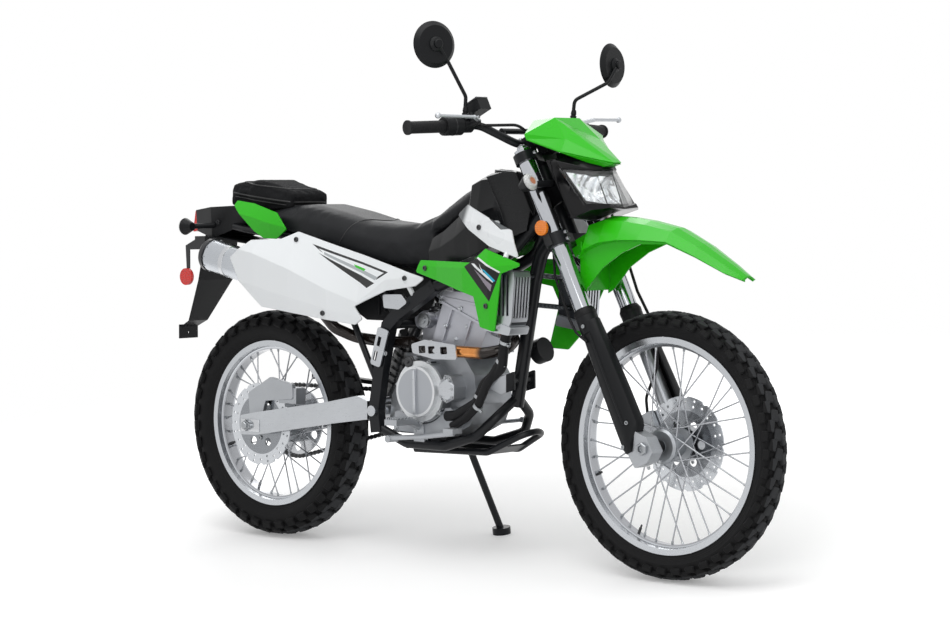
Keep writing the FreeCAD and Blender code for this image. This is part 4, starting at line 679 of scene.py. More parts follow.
def finish_reflector():
    """Polished bowl with upright flutes and soft steps, with painted highlights on the flutes and a faint
    painted glow.
    """
    shader = new_finish("lamp_reflector")
    y, z = shader.axes()[1:]
    flutes = y.wave(0.05).size()
    steps = z.ridges(0.034)
    # Painted highlights: each flute is painted lighter on its crest and darker in its groove.
    shader.set(Base_Color=shader.mix(flutes, rgb("cfd3d8"), rgb("ffffff")))
    shader.set(Metallic=0.85, Roughness=0.12 + steps * 0.1)
    # Painted glow: the bowl gives off a faint white light of its own.
    shader.set(Emission_Color=rgb("ffffff"), Emission_Strength=0.12)
    shader.bump(flutes * 0.7 + steps * 0.3, 0.8, 0.004)
    return shader


def finish_mirror():
    shader = new_finish("mirror_glass")
    haze = shader.noise(40, 2)
    shader.set(Base_Color=rgb("aeb4b9"), Metallic=1.0, Roughness=0.02 + haze * 0.02)
    return shader


def finish_bolt():
    return brushed("zinc_bolt", rgb("a9acaf"), 0.3, (1, 1, 1))


def finish_dark_bolt():
    return moulded("black_bolt", rgb("1e1f22"), 0.35, depth=0.00005, coat=0.2)


def finish_display():
    return moulded("display_window", rgb("59615f"), 0.1, grain=60, depth=0.00001, coat=0.6)


def finish_spring():
    return moulded("spring_paint", rgb("1f2023"), 0.28, grain=400, depth=0.00003, coat=0.5)


FINISHES = {
    finish_frame_paint: ["frame", "engine_guard", "side_stand", "triple_clamps", "handlebar"],
    finish_controls: ["hand_controls"],
    finish_black_plastic: [
        "airbox", "rear_fender", "fork_guards", "instrument", "horn", "mirrors", "rear_signals",
        "front_signals", "chain_guides", "plate_bracket"],
    finish_cowl: ["headlight_shell"],
    finish_tank: ["fuel_tank"],
    finish_green: ["front_fender", "front_mask", "tail_covers"],
    finish_shroud: ["shrouds"],
    finish_side_panel: ["side_panels"],
    finish_upper_panel: ["upper_panels"],
    finish_cast: ["fork_sliders", "front_caliper", "rear_caliper", "foot_controls"],
    finish_engine: ["engine"],
    finish_machined: ["swingarm", "bright_shields", "coolant_bottle"],
    finish_muffler: ["muffler"],
    finish_radiator: ["radiators"],
    finish_steel: ["rear_axle", "front_axle", "rear_sprocket", "chain"],
    finish_disc: ["front_disc", "rear_disc"],
    finish_front_wheel: ["front_wheel"],
    finish_rear_wheel: ["rear_wheel"],
    finish_chrome: ["fork_tubes"],
    finish_spring: ["rear_shock"],
    finish_exhaust: ["exhaust_pipe"],
    finish_rubber: ["coolant_hoses", "front_hoses"],
    finish_grip: ["grips"],
    finish_front_tyre: ["front_tyre"],
    finish_rear_tyre: ["rear_tyre"],
    finish_seat: ["seat"],
    finish_cloth: ["tool_bag"],
    finish_clear: ["headlight_lens"],
    finish_signal_lens: ["front_signal_lenses", "rear_signal_lenses"],
    finish_reflector: ["headlight_reflector"],
    finish_amber: ["fork_reflectors"],
    finish_red: ["tail_lamp", "side_reflector"],
    finish_mirror: ["mirror_glass"],
}
LOOKS = {}


def look(finish):
    """The material of a finish, made once."""
    if finish not in LOOKS:
        LOOKS[finish] = finish().owner
    return LOOKS[finish]


# Modelling by hand: a primitive, then edit mode, then its place on the machine


def clear():
    """Select nothing."""
    bpy.ops.object.select_all(action="DESELECT")


def only(*pieces):
    """Select these pieces alone."""
    clear()
    for piece in pieces:
        piece.select_set(True)
    bpy.context.view_layer.objects.active = pieces[0]


def linked(name, data):
    """A new object in the scene with this data."""
    piece = bpy.data.objects.new(name, data)
    bpy.context.scene.collection.objects.link(piece)
    only(piece)
    return piece


def edit():
    """Open the active piece in edit mode with all of it selected."""
    bpy.ops.object.mode_set(mode="EDIT")
    bpy.ops.mesh.select_all(action="SELECT")


def leave_edit(outwards=False):
    """Back to object mode, with all faces turned outwards where asked."""
    if outwards:
        bpy.ops.mesh.select_all(action="SELECT")
        bpy.ops.mesh.normals_make_consistent(inside=False)
    bpy.ops.object.mode_set(mode="OBJECT")


def merge():
    """Join the selected points that lie on each other."""
    bpy.ops.mesh.remove_doubles(threshold=MERGE)


def modify(piece, kind, **settings):
    """Add a modifier with its settings and apply it."""
    modifier = piece.modifiers.new(kind.lower(), kind)
    for key, value in settings.items():
        setattr(modifier, key, value)
    bpy.ops.object.modifier_apply(modifier=modifier.name)


def joined(*pieces):
    """The first piece with the others joined to it."""
    only(*pieces)
    bpy.ops.object.join()
    return pieces[0]


def fit(piece, name, body, finish, smooth=30):
    """Set a finished piece on the parked machine, with its place in its mesh."""
    bpy.context.view_layer.update()
    piece.name = name
    piece.data.transform(PARKED @ piece.matrix_world)
    piece.matrix_world = Matrix()
    piece.data.materials.clear()
    piece.data.materials.append(look(finish))
    only(piece)
    bpy.ops.object.shade_smooth_by_angle(angle=math.radians(smooth))
    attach(piece, body)
    return piece


def fit_at(piece, matrix, body, finish):
    """Fit a piece at one place under the name that it was made with."""
    piece.matrix_world = matrix
    return fit(piece, piece.name, body, finish)


def fit_each(model, matrices, body, finish):
    """Fit one piece that is a copy of the model at every place, under the model's name."""
    return fit(repeated(model, matrices), model.name, body, finish)


def turned(name, *profile, sides=24):
    """Shape turned round z from a disc, by (radius, height) corners in millimetres."""
    clear()
    radius, height = profile[0]
    bpy.ops.mesh.primitive_circle_add(
        vertices=sides, radius=radius / 1000, fill_type="NGON", location=(0, 0, height / 1000))
    piece = bpy.context.object
    piece.name = name
    bpy.ops.object.transform_apply()
    edit()
    for wide, high in profile[1:]:
        rise = (0, 0, (high - height) / 1000)
        bpy.ops.mesh.extrude_region_move(TRANSFORM_OT_translate={"value": rise})
        bpy.ops.transform.resize(value=(wide / radius, wide / radius, 1))
        radius, height = wide, high
    leave_edit(outwards=True)
    return piece


def block(name, width, depth, height, edge, steps=3):
    """Box with edges rounded in steps, its foot at z 0, in millimetres."""
    clear()
    bpy.ops.mesh.primitive_cube_add(size=1, location=(0, 0, height / 2000))
    piece = bpy.context.object
    piece.name = name
    piece.scale = at(width, depth, height)
    bpy.ops.object.transform_apply()
    edit()
    bpy.ops.mesh.bevel(offset=edge / 1000, segments=steps)
    leave_edit()
    return piece


def plate(name, outline, y0, y1):
    """Flat piece across the machine, from its (x, z) outline in millimetres."""
    mesh = bpy.data.meshes.new(name)
    mesh.from_pydata([at(x, y0, z) for x, z in outline], [], [range(len(outline))])
    piece = linked(name, mesh)
    edit()
    across = (0, (y1 - y0) / 1000, 0)
    bpy.ops.mesh.extrude_region_move(TRANSFORM_OT_translate={"value": across})
    leave_edit(outwards=True)
    return piece


def tube(name, points, radius, closed=False):
    """Round cord of a radius in millimetres, drawn smoothly past its points."""
    curve = bpy.data.curves.new(name, "CURVE")
    curve.dimensions = "3D"
    line = curve.splines.new("NURBS")
    line.points.add(len(points) - 1)
    for point, place in zip(line.points, points):
        point.co = (*place, 1.0)
    line.order_u = 3
    line.use_cyclic_u = closed
    line.use_endpoint_u = not closed
    curve.resolution_u = 5
    curve.bevel_depth = radius / 1000
    curve.bevel_resolution = 3
    curve.use_fill_caps = True
    linked(name, curve)
    bpy.ops.object.convert(target="MESH")
    return bpy.context.object


def facing(place, way):
    """Matrix that stands a piece at a place with its z along a way."""
    return Matrix.Translation(place) @ way.to_track_quat("Z", "Y").to_matrix().to_4x4()


def repeated(model, matrices):
    """One piece that holds a copy of the model at every matrix."""
    grown = bmesh.new()
    for matrix in matrices:
        mesh = model.data.copy()
        mesh.transform(matrix)
        grown.from_mesh(mesh)
        bpy.data.meshes.remove(mesh)
    grown.to_mesh(model.data)
    grown.free()
    return model


def touch(piece, start, way):
    """Where a line meets a piece, and the way its surface faces there, on the upright machine."""
    hit, place, normal = piece.ray_cast(PARKED @ start, PARKED.to_3x3() @ way)[:3]
    if not hit:
        raise RuntimeError(f"{piece.name} isn't met from {tuple(start)}")
    return UPRIGHT @ place, (UPRIGHT.to_3x3() @ normal).normalized()


def on_side(piece, x, z, side, sink=0.0):
    """Matrix of a fastener seated on a piece's side at x and z, in millimetres."""
    place, way = touch(piece, at(x, side * FAR_OUT, z), sideways(-side))
    return facing(place - way * sink / 1000, way)


def round_bolt(name, radius, height):
    """Round head with a hexagon socket in it."""
    neck = radius * 0.92
    socket = radius * 0.5
    return turned(name, (radius, 0), (radius, height * 0.6), (neck, height), (socket, height),
                  (socket * 0.9, height * 0.45), sides=18)


def hex_bolt(name, radius, height):
    """Hexagon head on its washer flange."""
    flat = radius * 0.78
    head = turned(name, (flat, 0), (flat, height * 0.9), (radius * 0.7, height), sides=6)
    flange = turned(name + "_flange", (radius, 0), (radius, height * 0.2),
                    (radius * 0.8, height * 0.3), sides=18)
    return joined(head, flange)


def ring_places(wheel, y, reach, count, side, start=0.0):
    """Matrices round a wheel's axle, facing out to one side."""
    places = []
    for i in range(count):
        x, z = polar(wheel.x, wheel.z, reach, start + 2 * math.pi * i / count)
        places.append(facing(at(x, y, z), sideways(side)))
    return places


class Sizes(bpy.types.PropertyGroup):
    """Sizes and colours that a user may change."""

    floor_size: bpy.props.FloatProperty(
        name="Floor size", description="Width of the square floor", default=12.0, unit="LENGTH")
    floor_colour: bpy.props.FloatVectorProperty(
        name="Floor colour", description="Colour of the plain floor", default=(0.82, 0.82, 0.82),
        size=3, subtype="COLOR")
    ambient: bpy.props.FloatProperty(
        name="Ambient light", description="Strength of the light from all round", default=0.5)
    key_power: bpy.props.FloatProperty(
        name="Key light", description="Power of the overhead soft light", default=90.0, unit="POWER")
    side_power: bpy.props.FloatProperty(
        name="Side light", description="Power of the soft lights at the sides", default=45.0, unit="POWER")
    seat_voxel: bpy.props.FloatProperty(
        name="Seat mesh", description="Mesh size of the seat before it fills out",
        default=0.006, unit="LENGTH")
    bag_voxel: bpy.props.FloatProperty(
        name="Bag mesh", description="Mesh size of the tool bag before it fills out",
        default=0.005, unit="LENGTH")
    air_pressure: bpy.props.FloatProperty(
        name="Filling", description="Air pressure that fills the seat and the bag", default=4.0)
    piping: bpy.props.FloatProperty(
        name="Piping", description="Radius of the seat's sewn piping in millimetres", default=1.8)


class STAGE_OT_build(bpy.types.Operator):
    """Add the floor, the soft lights, the world and the camera."""

    bl_idname = "motorcycle.stage"
    bl_label = "Stage"

    def execute(self, context):
        sizes = context.scene.motorcycle_sizes
        self.add_floor(sizes)
        self.add_world(context, sizes)
        self.add_light("key_light", (0.3, -0.8, 4.0), (0.1, 0.0, 0.5), 3.4, sizes.key_power)
        self.add_light("side_light", (3.2, -3.6, 2.4), (0.1, 0.0, 0.6), 2.4, sizes.side_power)
        self.add_light("back_light", (-3.0, 3.0, 2.8), (0.0, 0.0, 0.7), 2.6, sizes.side_power)
        self.add_camera(context)
        context.scene.view_settings.view_transform = "Standard"
        return {"FINISHED"}

    def add_floor(self, sizes):
        """Pale floor that glows to the camera and to gloss, and fades into the white behind it."""
        clear()
        bpy.ops.mesh.primitive_plane_add(size=sizes.floor_size, location=(0, 0, 0))
        floor = bpy.context.object
        floor.name = "floor"
        shader = new_finish("floor_paint")
        rays = shader.node("ShaderNodeLightPath")
        seen = rays[CAMERA_RAY].top(rays[GLOSSY_RAY])
        reach = shader.vector("LENGTH", shader.node("ShaderNodeTexCoord")[OBJECT_PLACE])[1]
        glow = seen * (0.22 + reach.smooth(0.7, 2.0) * 0.45)
        shader.set(Base_Color=(*sizes.floor_colour, 1.0), Roughness=0.9, Specular_IOR_Level=0.1)
        values = {"Color": (1, 1, 1, 1), "Strength": glow}
        light = shader.node("ShaderNodeEmission", None, values)[0]
        paint = Port(shader, shader.surface.outputs[0])
        lit = shader.node("ShaderNodeAddShader", None, {0: paint, 1: light})[0]
        clear_view = shader.node("ShaderNodeBsdfTransparent")[0]
        values = {0: reach.smooth(1.9, 3.2), 1: lit, 2: clear_view}
        both = shader.node("ShaderNodeMixShader", None, values)[0]
        shader.feed(shader.tree.nodes["Material Output"].inputs["Surface"], both)
        floor.data.materials.append(shader.owner)

    def add_world(self, context, sizes):
        """Soft light from all round, white where the camera, gloss and glass see it."""
        world = bpy.data.worlds.new("studio")
        context.scene.world = world
        shader = Shader(world, "Background")
        rays = shader.node("ShaderNodeLightPath")
        seen = rays[CAMERA_RAY].top(rays[GLOSSY_RAY].top(rays[TRANSMISSION_RAY]))
        shader.set(Color=(1, 1, 1, 1), Strength=sizes.ambient + seen * (1 - sizes.ambient))

    def add_light(self, name, place, aim, size, power):
        """Square soft light at a place, turned to its aim."""
        data = bpy.data.lights.new(name, "AREA")
        data.shape = "SQUARE"
        data.size = size
        data.energy = power
        light = bpy.data.objects.new(name, data)
        bpy.context.scene.collection.objects.link(light)
        light.location = place
        light.rotation_euler = (Vector(aim) - Vector(place)).to_track_quat("-Z", "Y").to_euler()

    def add_camera(self, context):
        """The photograph's view of the parked machine."""
        data = bpy.data.cameras.new("camera")
        data.lens = LENS_MM
        data.sensor_width = SENSOR_MM
        data.clip_end = 200.0
        camera = bpy.data.objects.new("camera", data)
        context.scene.collection.objects.link(camera)
        aim = (Matrix.Rotation(CAMERA_AZIMUTH, 4, "Z")
               @ Matrix.Rotation(math.pi / 2 - CAMERA_ELEVATION, 4, "X"))
        camera.matrix_world = PARKED @ Matrix.Translation(CAMERA_AT) @ aim
        context.scene.camera = camera


class FINISH_OT_apply(bpy.types.Operator):
    """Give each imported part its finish."""

    bl_idname = "motorcycle.finishes"
    bl_label = "Finishes"

    def execute(self, context):
        for finish, names in FINISHES.items():
            for name in names:
                NODES[name].data.materials.clear()
                NODES[name].data.materials.append(look(finish))
        return {"FINISHED"}


def soft_form(name, node, voxel, ease, pressure, cap):
    """Soft piece from a part's block: an even mesh, eased corners, then filled with air."""
    piece = linked(name, NODES[node].data.copy())
    edit()
    merge()
    leave_edit()
    modify(piece, "REMESH", mode="VOXEL", voxel_size=voxel)
    modify(piece, "SMOOTH", factor=0.5, iterations=ease)
    fill_with_air(piece, pressure, cap)
    modify(piece, "SUBSURF", levels=1, render_levels=1)
    return piece


def fill_with_air(piece, pressure, cap):
    """Run cloth with air inside it, and let no point move further than the cap."""
    starts = [vertex.co.copy() for vertex in piece.data.vertices]
    cloth = piece.modifiers.new("air", "CLOTH")
    cloth.settings.use_pressure = True
    cloth.settings.uniform_pressure_force = pressure
    cloth.settings.effector_weights.gravity = 0
    for number in range(1, AIR_FRAMES + 1):
        bpy.context.scene.frame_set(number)
    only(piece)
    bpy.ops.object.modifier_apply(modifier=cloth.name)
    bpy.context.scene.frame_set(1)
    for vertex, start in zip(piece.data.vertices, starts):
        move = vertex.co - start
        if move.length > cap:
            vertex.co = start + move.normalized() * cap


def soft_fit(piece, node, finish):
    """Finish a soft piece that stands for a part; its mesh is already on the parked machine."""
    piece.data.materials.clear()
    piece.data.materials.append(look(finish))
    only(piece)
    bpy.ops.object.shade_smooth()
    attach(piece, "chassis")
    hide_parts(node)


class SEAT_OT_cover(bpy.types.Operator):
    """Padded seat with its cross seam."""

    bl_idname = "motorcycle.seat"
    bl_label = "Seat"

    def execute(self, context):
        sizes = context.scene.motorcycle_sizes
        seat = soft_form("seat_pad", "seat", sizes.seat_voxel, 10, sizes.air_pressure, 0.006)
        soft_fit(seat, "seat", finish_seat)
        seam = []
        for step in range(-9, 10):
            turn = math.radians(10 * step)
            x = 446 - 92 * abs(step / 9) ** 1.4
            way = Vector((0, math.sin(turn), math.cos(turn)))
            place, normal = touch(seat, at(x, 0, 860) + way * 0.5, -way)
            seam.append(place + normal * PROUD)
        fit(tube("seat_seam", seam, sizes.piping), "seat_seam", "chassis", finish_piping)
        return {"FINISHED"}


class BAG_OT_tool(bpy.types.Operator):
    """Tool bag on the rear rack, with its sewn piping and a zip."""

    bl_idname = "motorcycle.bag"
    bl_label = "Tool bag"

    def execute(self, context):
        sizes = context.scene.motorcycle_sizes
        bag = soft_form("tool_bag_body", "tool_bag", sizes.bag_voxel, 5, sizes.air_pressure, 0.005)
        soft_fit(bag, "tool_bag", finish_cloth)
        loops = (("bag_top_piping", 0.028, 2.0), ("bag_zip", -0.006, 2.6), ("bag_low_piping", -0.016, 1.8))
        for name, lift, radius in loops:
            middle = at(6, 0, 996) + Vector((0, 0, lift))
            loop = []
            for step in range(36):
                turn = math.radians(10 * step)
                way = Vector((math.cos(turn), math.sin(turn), -0.12 * math.cos(turn))).normalized()
                place, normal = touch(bag, middle + way * 0.5, -way)
                loop.append(place + normal * PROUD)
            fit(tube(name, loop, radius, closed=True), name, "chassis", finish_piping)
        return {"FINISHED"}


class BOLT_OT_panels(bpy.types.Operator):
    """Dark round bolts on the panels, and zinc ones on frame and bracket joints."""

    bl_idname = "motorcycle.panel_bolts"
    bl_label = "Panel bolts"

    def execute(self, context):
        dark = self.pairs(("side_panels", 238, 872), ("side_panels", 357, 668), ("side_panels", 632, 771),
                          ("shrouds", 712, 801), ("shrouds", 970, 707), ("upper_panels", 940, 915),
                          ("rear_fender", -170, 915))
        fit_each(round_bolt("panel_bolts", 7.5, 4), dark, "chassis", finish_dark_bolt)
        zinc = self.pairs(("radiators", 1000, 652), ("frame", 540, 560))
        fit_each(hex_bolt("frame_bolts", 7, 6), zinc, "chassis", finish_bolt)
        return {"FINISHED"}

    def pairs(self, *spots):
        """Seats of fasteners at (node, x, z) spots, on the right side and then on the left."""
        return [on_side(NODES[node], x, z, side) for side in (-1, 1) for node, x, z in spots]


class ENGINE_OT_fittings(bpy.types.Operator):
    """Case bolts, plugs, caps and hose clips of the engine."""

    bl_idname = "motorcycle.engine_fittings"
    bl_label = "Engine fittings"

    def execute(self, context):
        engine = NODES["engine"]
        places = []
        for i in range(7):
            spot = polar(*CLUTCH, 86, math.radians(20 + 50 * i))
            places.append(on_side(engine, *spot, -1))
        for x, z in ((754, 452), (771, 441), (792, 451), (793, 474), (783, 499), (768, 503), (566, 352),
                     (640, 350), (742, 352), (776, 374)):
            places.append(on_side(engine, x, z, -1))
        for i in range(8):
            spot = polar(*GENERATOR, 66, math.radians(22 + 45 * i))
            places.append(on_side(engine, *spot, 1))
        for x, z in ((704, 707), (860, 643), (700, 720), (878, 696), (738, 742), (818, 740), (662, 572),
                     (820, 572)):
            for side in (-1, 1):
                places.append(on_side(engine, x, z, side))
        fit_each(hex_bolt("engine_bolts", 6, 6), places, "chassis", finish_bolt)
        cap = turned("filler_cap", (17, 0), (17, 4), (15, 6), (15, 10), (12, 12), (4, 12), (4, 16), (3, 17))
        fit_at(cap, on_side(engine, 628, 540, -1), "chassis", finish_dark_bolt)
        rib_turn = Matrix.Rotation(math.radians(2), 4, "Z")
        rib = block("clutch_rib", 9, 118, 5, 2)
        fit_at(rib, on_side(engine, *CLUTCH, -1, 1) @ rib_turn, "chassis", finish_machined)
        pump = turned("pump_cover", (31, 0), (31, 3), (29, 5), (4, 5.5), sides=6)
        fit_at(pump, on_side(engine, 772, 470, -1, 1), "chassis", finish_machined)
        places = [on_side(engine, x, z, -1, 1) for x, z in ((716, 640), (748, 604), (790, 640), (772, 690))]
        boss = turned("cylinder_bosses", (7, 0), (7, 4), (6, 5), (3.6, 5), (3.6, 9), (3, 9.5), sides=20)
        fit_each(boss, places, "chassis", finish_machined)
        for number, (x, z) in enumerate(((478, 712), (500, 722), (522, 730))):
            rib = block(f"air_box_rib_{number}", 5, 96, 5, 1.5)
            fit_at(rib, on_side(NODES["airbox"], x, z, -1, 1), "chassis", finish_black_plastic)
        self.add_clips()
        self.add_carburettor_parts()
        return {"FINISHED"}

    def add_clips(self):
        """Worm drive bands round the ends of the coolant hoses."""
        clips = (((988, -143, 614), (978, -139, 592), 15.6), ((884, -126, 462), (874, -126, 444), 15.6),
                 ((884, -132, 434), (876, -131.6, 426), 13.6), ((968, -136, 560), (958, -135.5, 550), 13.6))
        for number, (start, end, radius) in enumerate(clips):
            band = turned(f"hose_clip_{number}", (radius, 0), (radius, 9), (radius - 1, 9), sides=28)
            screw = block("hose_clip_screw", 9, 13, 7, 1.5)
            screw.matrix_world = Matrix.Translation(at(0, -radius - 2, 1))
            bpy.context.view_layer.update()
            way = (at(*end) - at(*start)).normalized()
            fit_at(joined(band, screw), facing(at(*start), way), "chassis", finish_bolt)

    def add_carburettor_parts(self):
        """Throttle wheel, diaphragm cap and its screws on the carburettor."""
        x, y, z = 626, -8, 672
        wheel = turned("throttle_wheel", (20, 0), (20, 2), (17, 3), (17, 6), (20, 7), (20, 9), (9, 9),
                       (9, 13))
        fit_at(wheel, facing(at(x, -60, 652), sideways(-1)), "chassis", finish_bolt)
        cap = turned("carburettor_cap", (24, 0), (24, 5), (18, 9), (18, 16), (7, 18), (7, 26), (5, 28))
        up = Vector((0, 0, 1))
        fit_at(cap, facing(at(x, y, z), up), "chassis", finish_dark_bolt)
        screws = [facing(at(*polar(x, y, 19, turn), z + 8), up) for turn in (0.8, 2.4, 4.0, 5.6)]
        fit_each(round_bolt("carburettor_screws", 3.4, 2.4), screws, "chassis", finish_bolt)


class WHEEL_OT_fittings(bpy.types.Operator):
    """Spoke nipples, valves, rim locks, disc bolts and sprocket bolts of both wheels."""

    bl_idname = "motorcycle.wheel_fittings"
    bl_label = "Wheel fittings"

    def execute(self, context):
        for wheel in (FRONT, REAR):
            self.add_nipples(wheel)
        places = ring_places(FRONT, 64, 40, 6, 1, math.pi / 6)
        fit_each(round_bolt("front_disc_bolts", 6.5, 4), places, "front_wheel", finish_bolt)
        places = ring_places(REAR, -78, 40, 6, -1, math.pi / 6)
        fit_each(round_bolt("rear_disc_bolts", 6.5, 4), places, "rear_wheel", finish_bolt)
        places = ring_places(REAR, CHAIN_Y + 3, 54, 6, 1)
        fit_each(hex_bolt("sprocket_bolts", 8, 6), places, "rear_wheel", finish_bolt)
        return {"FINISHED"}

    def add_nipples(self, wheel):
        """Threaded nipples where the laced spokes enter the rim, a valve and a rim lock."""
        body = wheel.end + "_wheel"
        reach = wheel.rim_r - 21
        flange_y, flange_r = 33.5, 43
        places = []
        for i in range(wheel.spokes):
            side = 1 if i % 2 else -1
            angle = 2 * math.pi * i / wheel.spokes
            root = angle + math.radians(62) * (1 if (i // 2) % 2 else -1)
            x, z = polar(wheel.x, wheel.z, flange_r, root)
            hub = at(x, side * flange_y, z)
            x, z = polar(wheel.x, wheel.z, reach, angle)
            rim = at(x, side * 5, z)
            places.append(facing(rim, (hub - rim).normalized()))
        model = turned(wheel.end + "_nipples", (4.2, -3), (4.2, 3), (3.4, 4), (3.4, 11), (2.8, 13), sides=8)
        fit_each(model, places, body, finish_bolt)
        for name, turn, radius, length in (("valve", 4.3, 4, 30), ("rim_lock", 3.5, 5, 22)):
            x, z = polar(wheel.x, wheel.z, reach + 2, turn)
            way = Vector((-math.cos(turn), 0, -math.sin(turn)))
            tip = radius - 1.4
            stem = turned(f"{wheel.end}_{name}", (radius + 3, 0), (radius + 3, 4), (radius, 5),
                          (radius, length * 0.7), (tip, length * 0.75), (tip, length), sides=12)
            fit_at(stem, facing(at(x, 0, z), way), body, finish_dark_bolt)


class CHAIN_OT_links(bpy.types.Operator):
    """Roller chain, link by link, along the same run as its part."""

    bl_idname = "motorcycle.chain"
    bl_label = "Chain"

    def execute(self, context):
        big = CHAIN_PITCH / 2 / math.sin(math.pi / REAR_TEETH)
        small = CHAIN_PITCH / 2 / math.sin(math.pi / FRONT_TEETH)
        span = math.hypot(DRIVE_X, DRIVE_Z - REAR.z)
        slope = math.atan2(DRIVE_Z - REAR.z, DRIVE_X)
        spread = math.acos((big - small) / span)
        straight = span * math.sin(spread)
        runs = [straight, small * 2 * spread, straight, big * 2 * (math.pi - spread)]
        count = 2 * round(sum(runs) / CHAIN_PITCH / 2)
        pitch = sum(runs) / count
        joints = [self.point(pitch * i, runs, slope, spread, big, small) for i in range(count)]
        pairs = list(zip(joints, joints[1:] + joints[:1]))
        inner = repeated(self.link(7.0, 1.6, 0), [self.between(*pair) for pair in pairs[::2]])
        fit(inner, "chain_inner_links", "chassis", finish_bolt)
        outer = repeated(self.link(8.6, 1.4, 1), [self.between(*pair) for pair in pairs[1::2]])
        fit(outer, "chain_outer_links", "chassis", finish_dark_bolt)
        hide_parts("chain")
        return {"FINISHED"}

    def point(self, travel, runs, slope, spread, big, small):
        """Place of a chain pin after a travel along the loop, in millimetres."""
        rear = Vector((0, REAR.z))
        drive = Vector((DRIVE_X, DRIVE_Z))
        for number, run in enumerate(runs):
            if travel <= run or number == 3:
                break
            travel -= run
        if number in (0, 2):
            turn = slope + (spread if number == 0 else -spread)
            way = Vector((math.cos(turn), math.sin(turn)))
            ends = (rear + way * big, drive + way * small)
            start, end = ends if number == 0 else ends[::-1]
            return start.lerp(end, travel / run)
        arcs = {1: (drive, small, slope + spread), 3: (rear, big, slope - spread)}
        centre, radius, first = arcs[number]
        turn = first - travel / radius
        return centre + Vector((math.cos(turn), math.sin(turn))) * radius

    def between(self, a, b):
        """Matrix of a link from one pin to the next: x along it and z across the machine."""
        along = (b - a).normalized()
        x_axis = Vector((along.x, 0, along.y))
        z_axis = sideways(1)
        y_axis = z_axis.cross(x_axis)
        turn = Matrix((x_axis, y_axis, z_axis)).transposed().to_4x4()
        middle = (a + b) / 2
        return Matrix.Translation(at(middle.x, CHAIN_Y, middle.y)) @ turn

    def link(self, reach, thick, outer):
        """Two waisted plates with their rollers or pins."""
        half = CHAIN_PITCH / 2
        outline = []
        for x, turns in ((half, (-70, -35, 0, 35, 70)), (-half, (110, 145, 180, 215, 250))):
            outline += [polar(x, 0, 6.6, math.radians(degrees)) for degrees in turns]
            outline.append((0, 4.6 if x > 0 else -4.6))
        parts = []
        for y in (-reach, reach - thick):
            flat = plate("link_plate", outline, y, y + thick)
            flat.data.transform(Matrix.Rotation(math.pi / 2, 4, "X"))
            parts.append(flat)
        for x in (-half, half):
            radius, end = (2.6, reach + 0.6) if outer else (5.0, reach - thick)
            pin = turned("link_pin", (radius, -end), (radius, end), sides=10)
            pin.data.transform(Matrix.Translation(at(x, 0, 0)))
            parts.append(pin)
        return joined(*parts)


class FORK_OT_fittings(bpy.types.Operator):
    """Wiper seals, fork caps, pinch bolts and the stem nut."""

    bl_idname = "motorcycle.fork_fittings"
    bl_label = "Fork fittings"

    def execute(self, context):
        seals, caps, pinch = [], [], []
        for side in (-1, 1):
            seals.append(facing(on_fork(LEG_N, side * LEG_Y, 756), FORK_UP))
            caps.append(facing(on_fork(LEG_N, side * LEG_Y, 1240), FORK_UP))
            for s in (961, 979, 1213):
                pinch.append(facing(on_fork(60, side * LEG_Y, s), FORK_AHEAD))
            for n in (-4, 20):
                pinch.append(facing(on_fork(n, side * 46, 1280), FORK_UP))
        seal = turned("wiper_seals", (26, -8), (30, -6), (30, 4), (28, 8), (26, 12), (25, 15), (24.2, 15),
                      sides=32)
        fit_each(seal, seals, "steering", finish_rubber)
        cap = turned("fork_caps", (13, 0), (13, 8), (12, 9), (5, 9), (5, 12), (4, 12.5), sides=6)
        fit_each(cap, caps, "steering", finish_bolt)
        fit_each(round_bolt("pinch_bolts", 5.5, 8), pinch, "steering", finish_bolt)
        nut = turned("stem_nut", (17, -2), (17, 10), (15, 12), (9, 12), (9, 8), sides=6)
        fit_at(nut, facing(on_fork(0, 0, 1230), FORK_UP), "steering", finish_bolt)
        return {"FINISHED"}


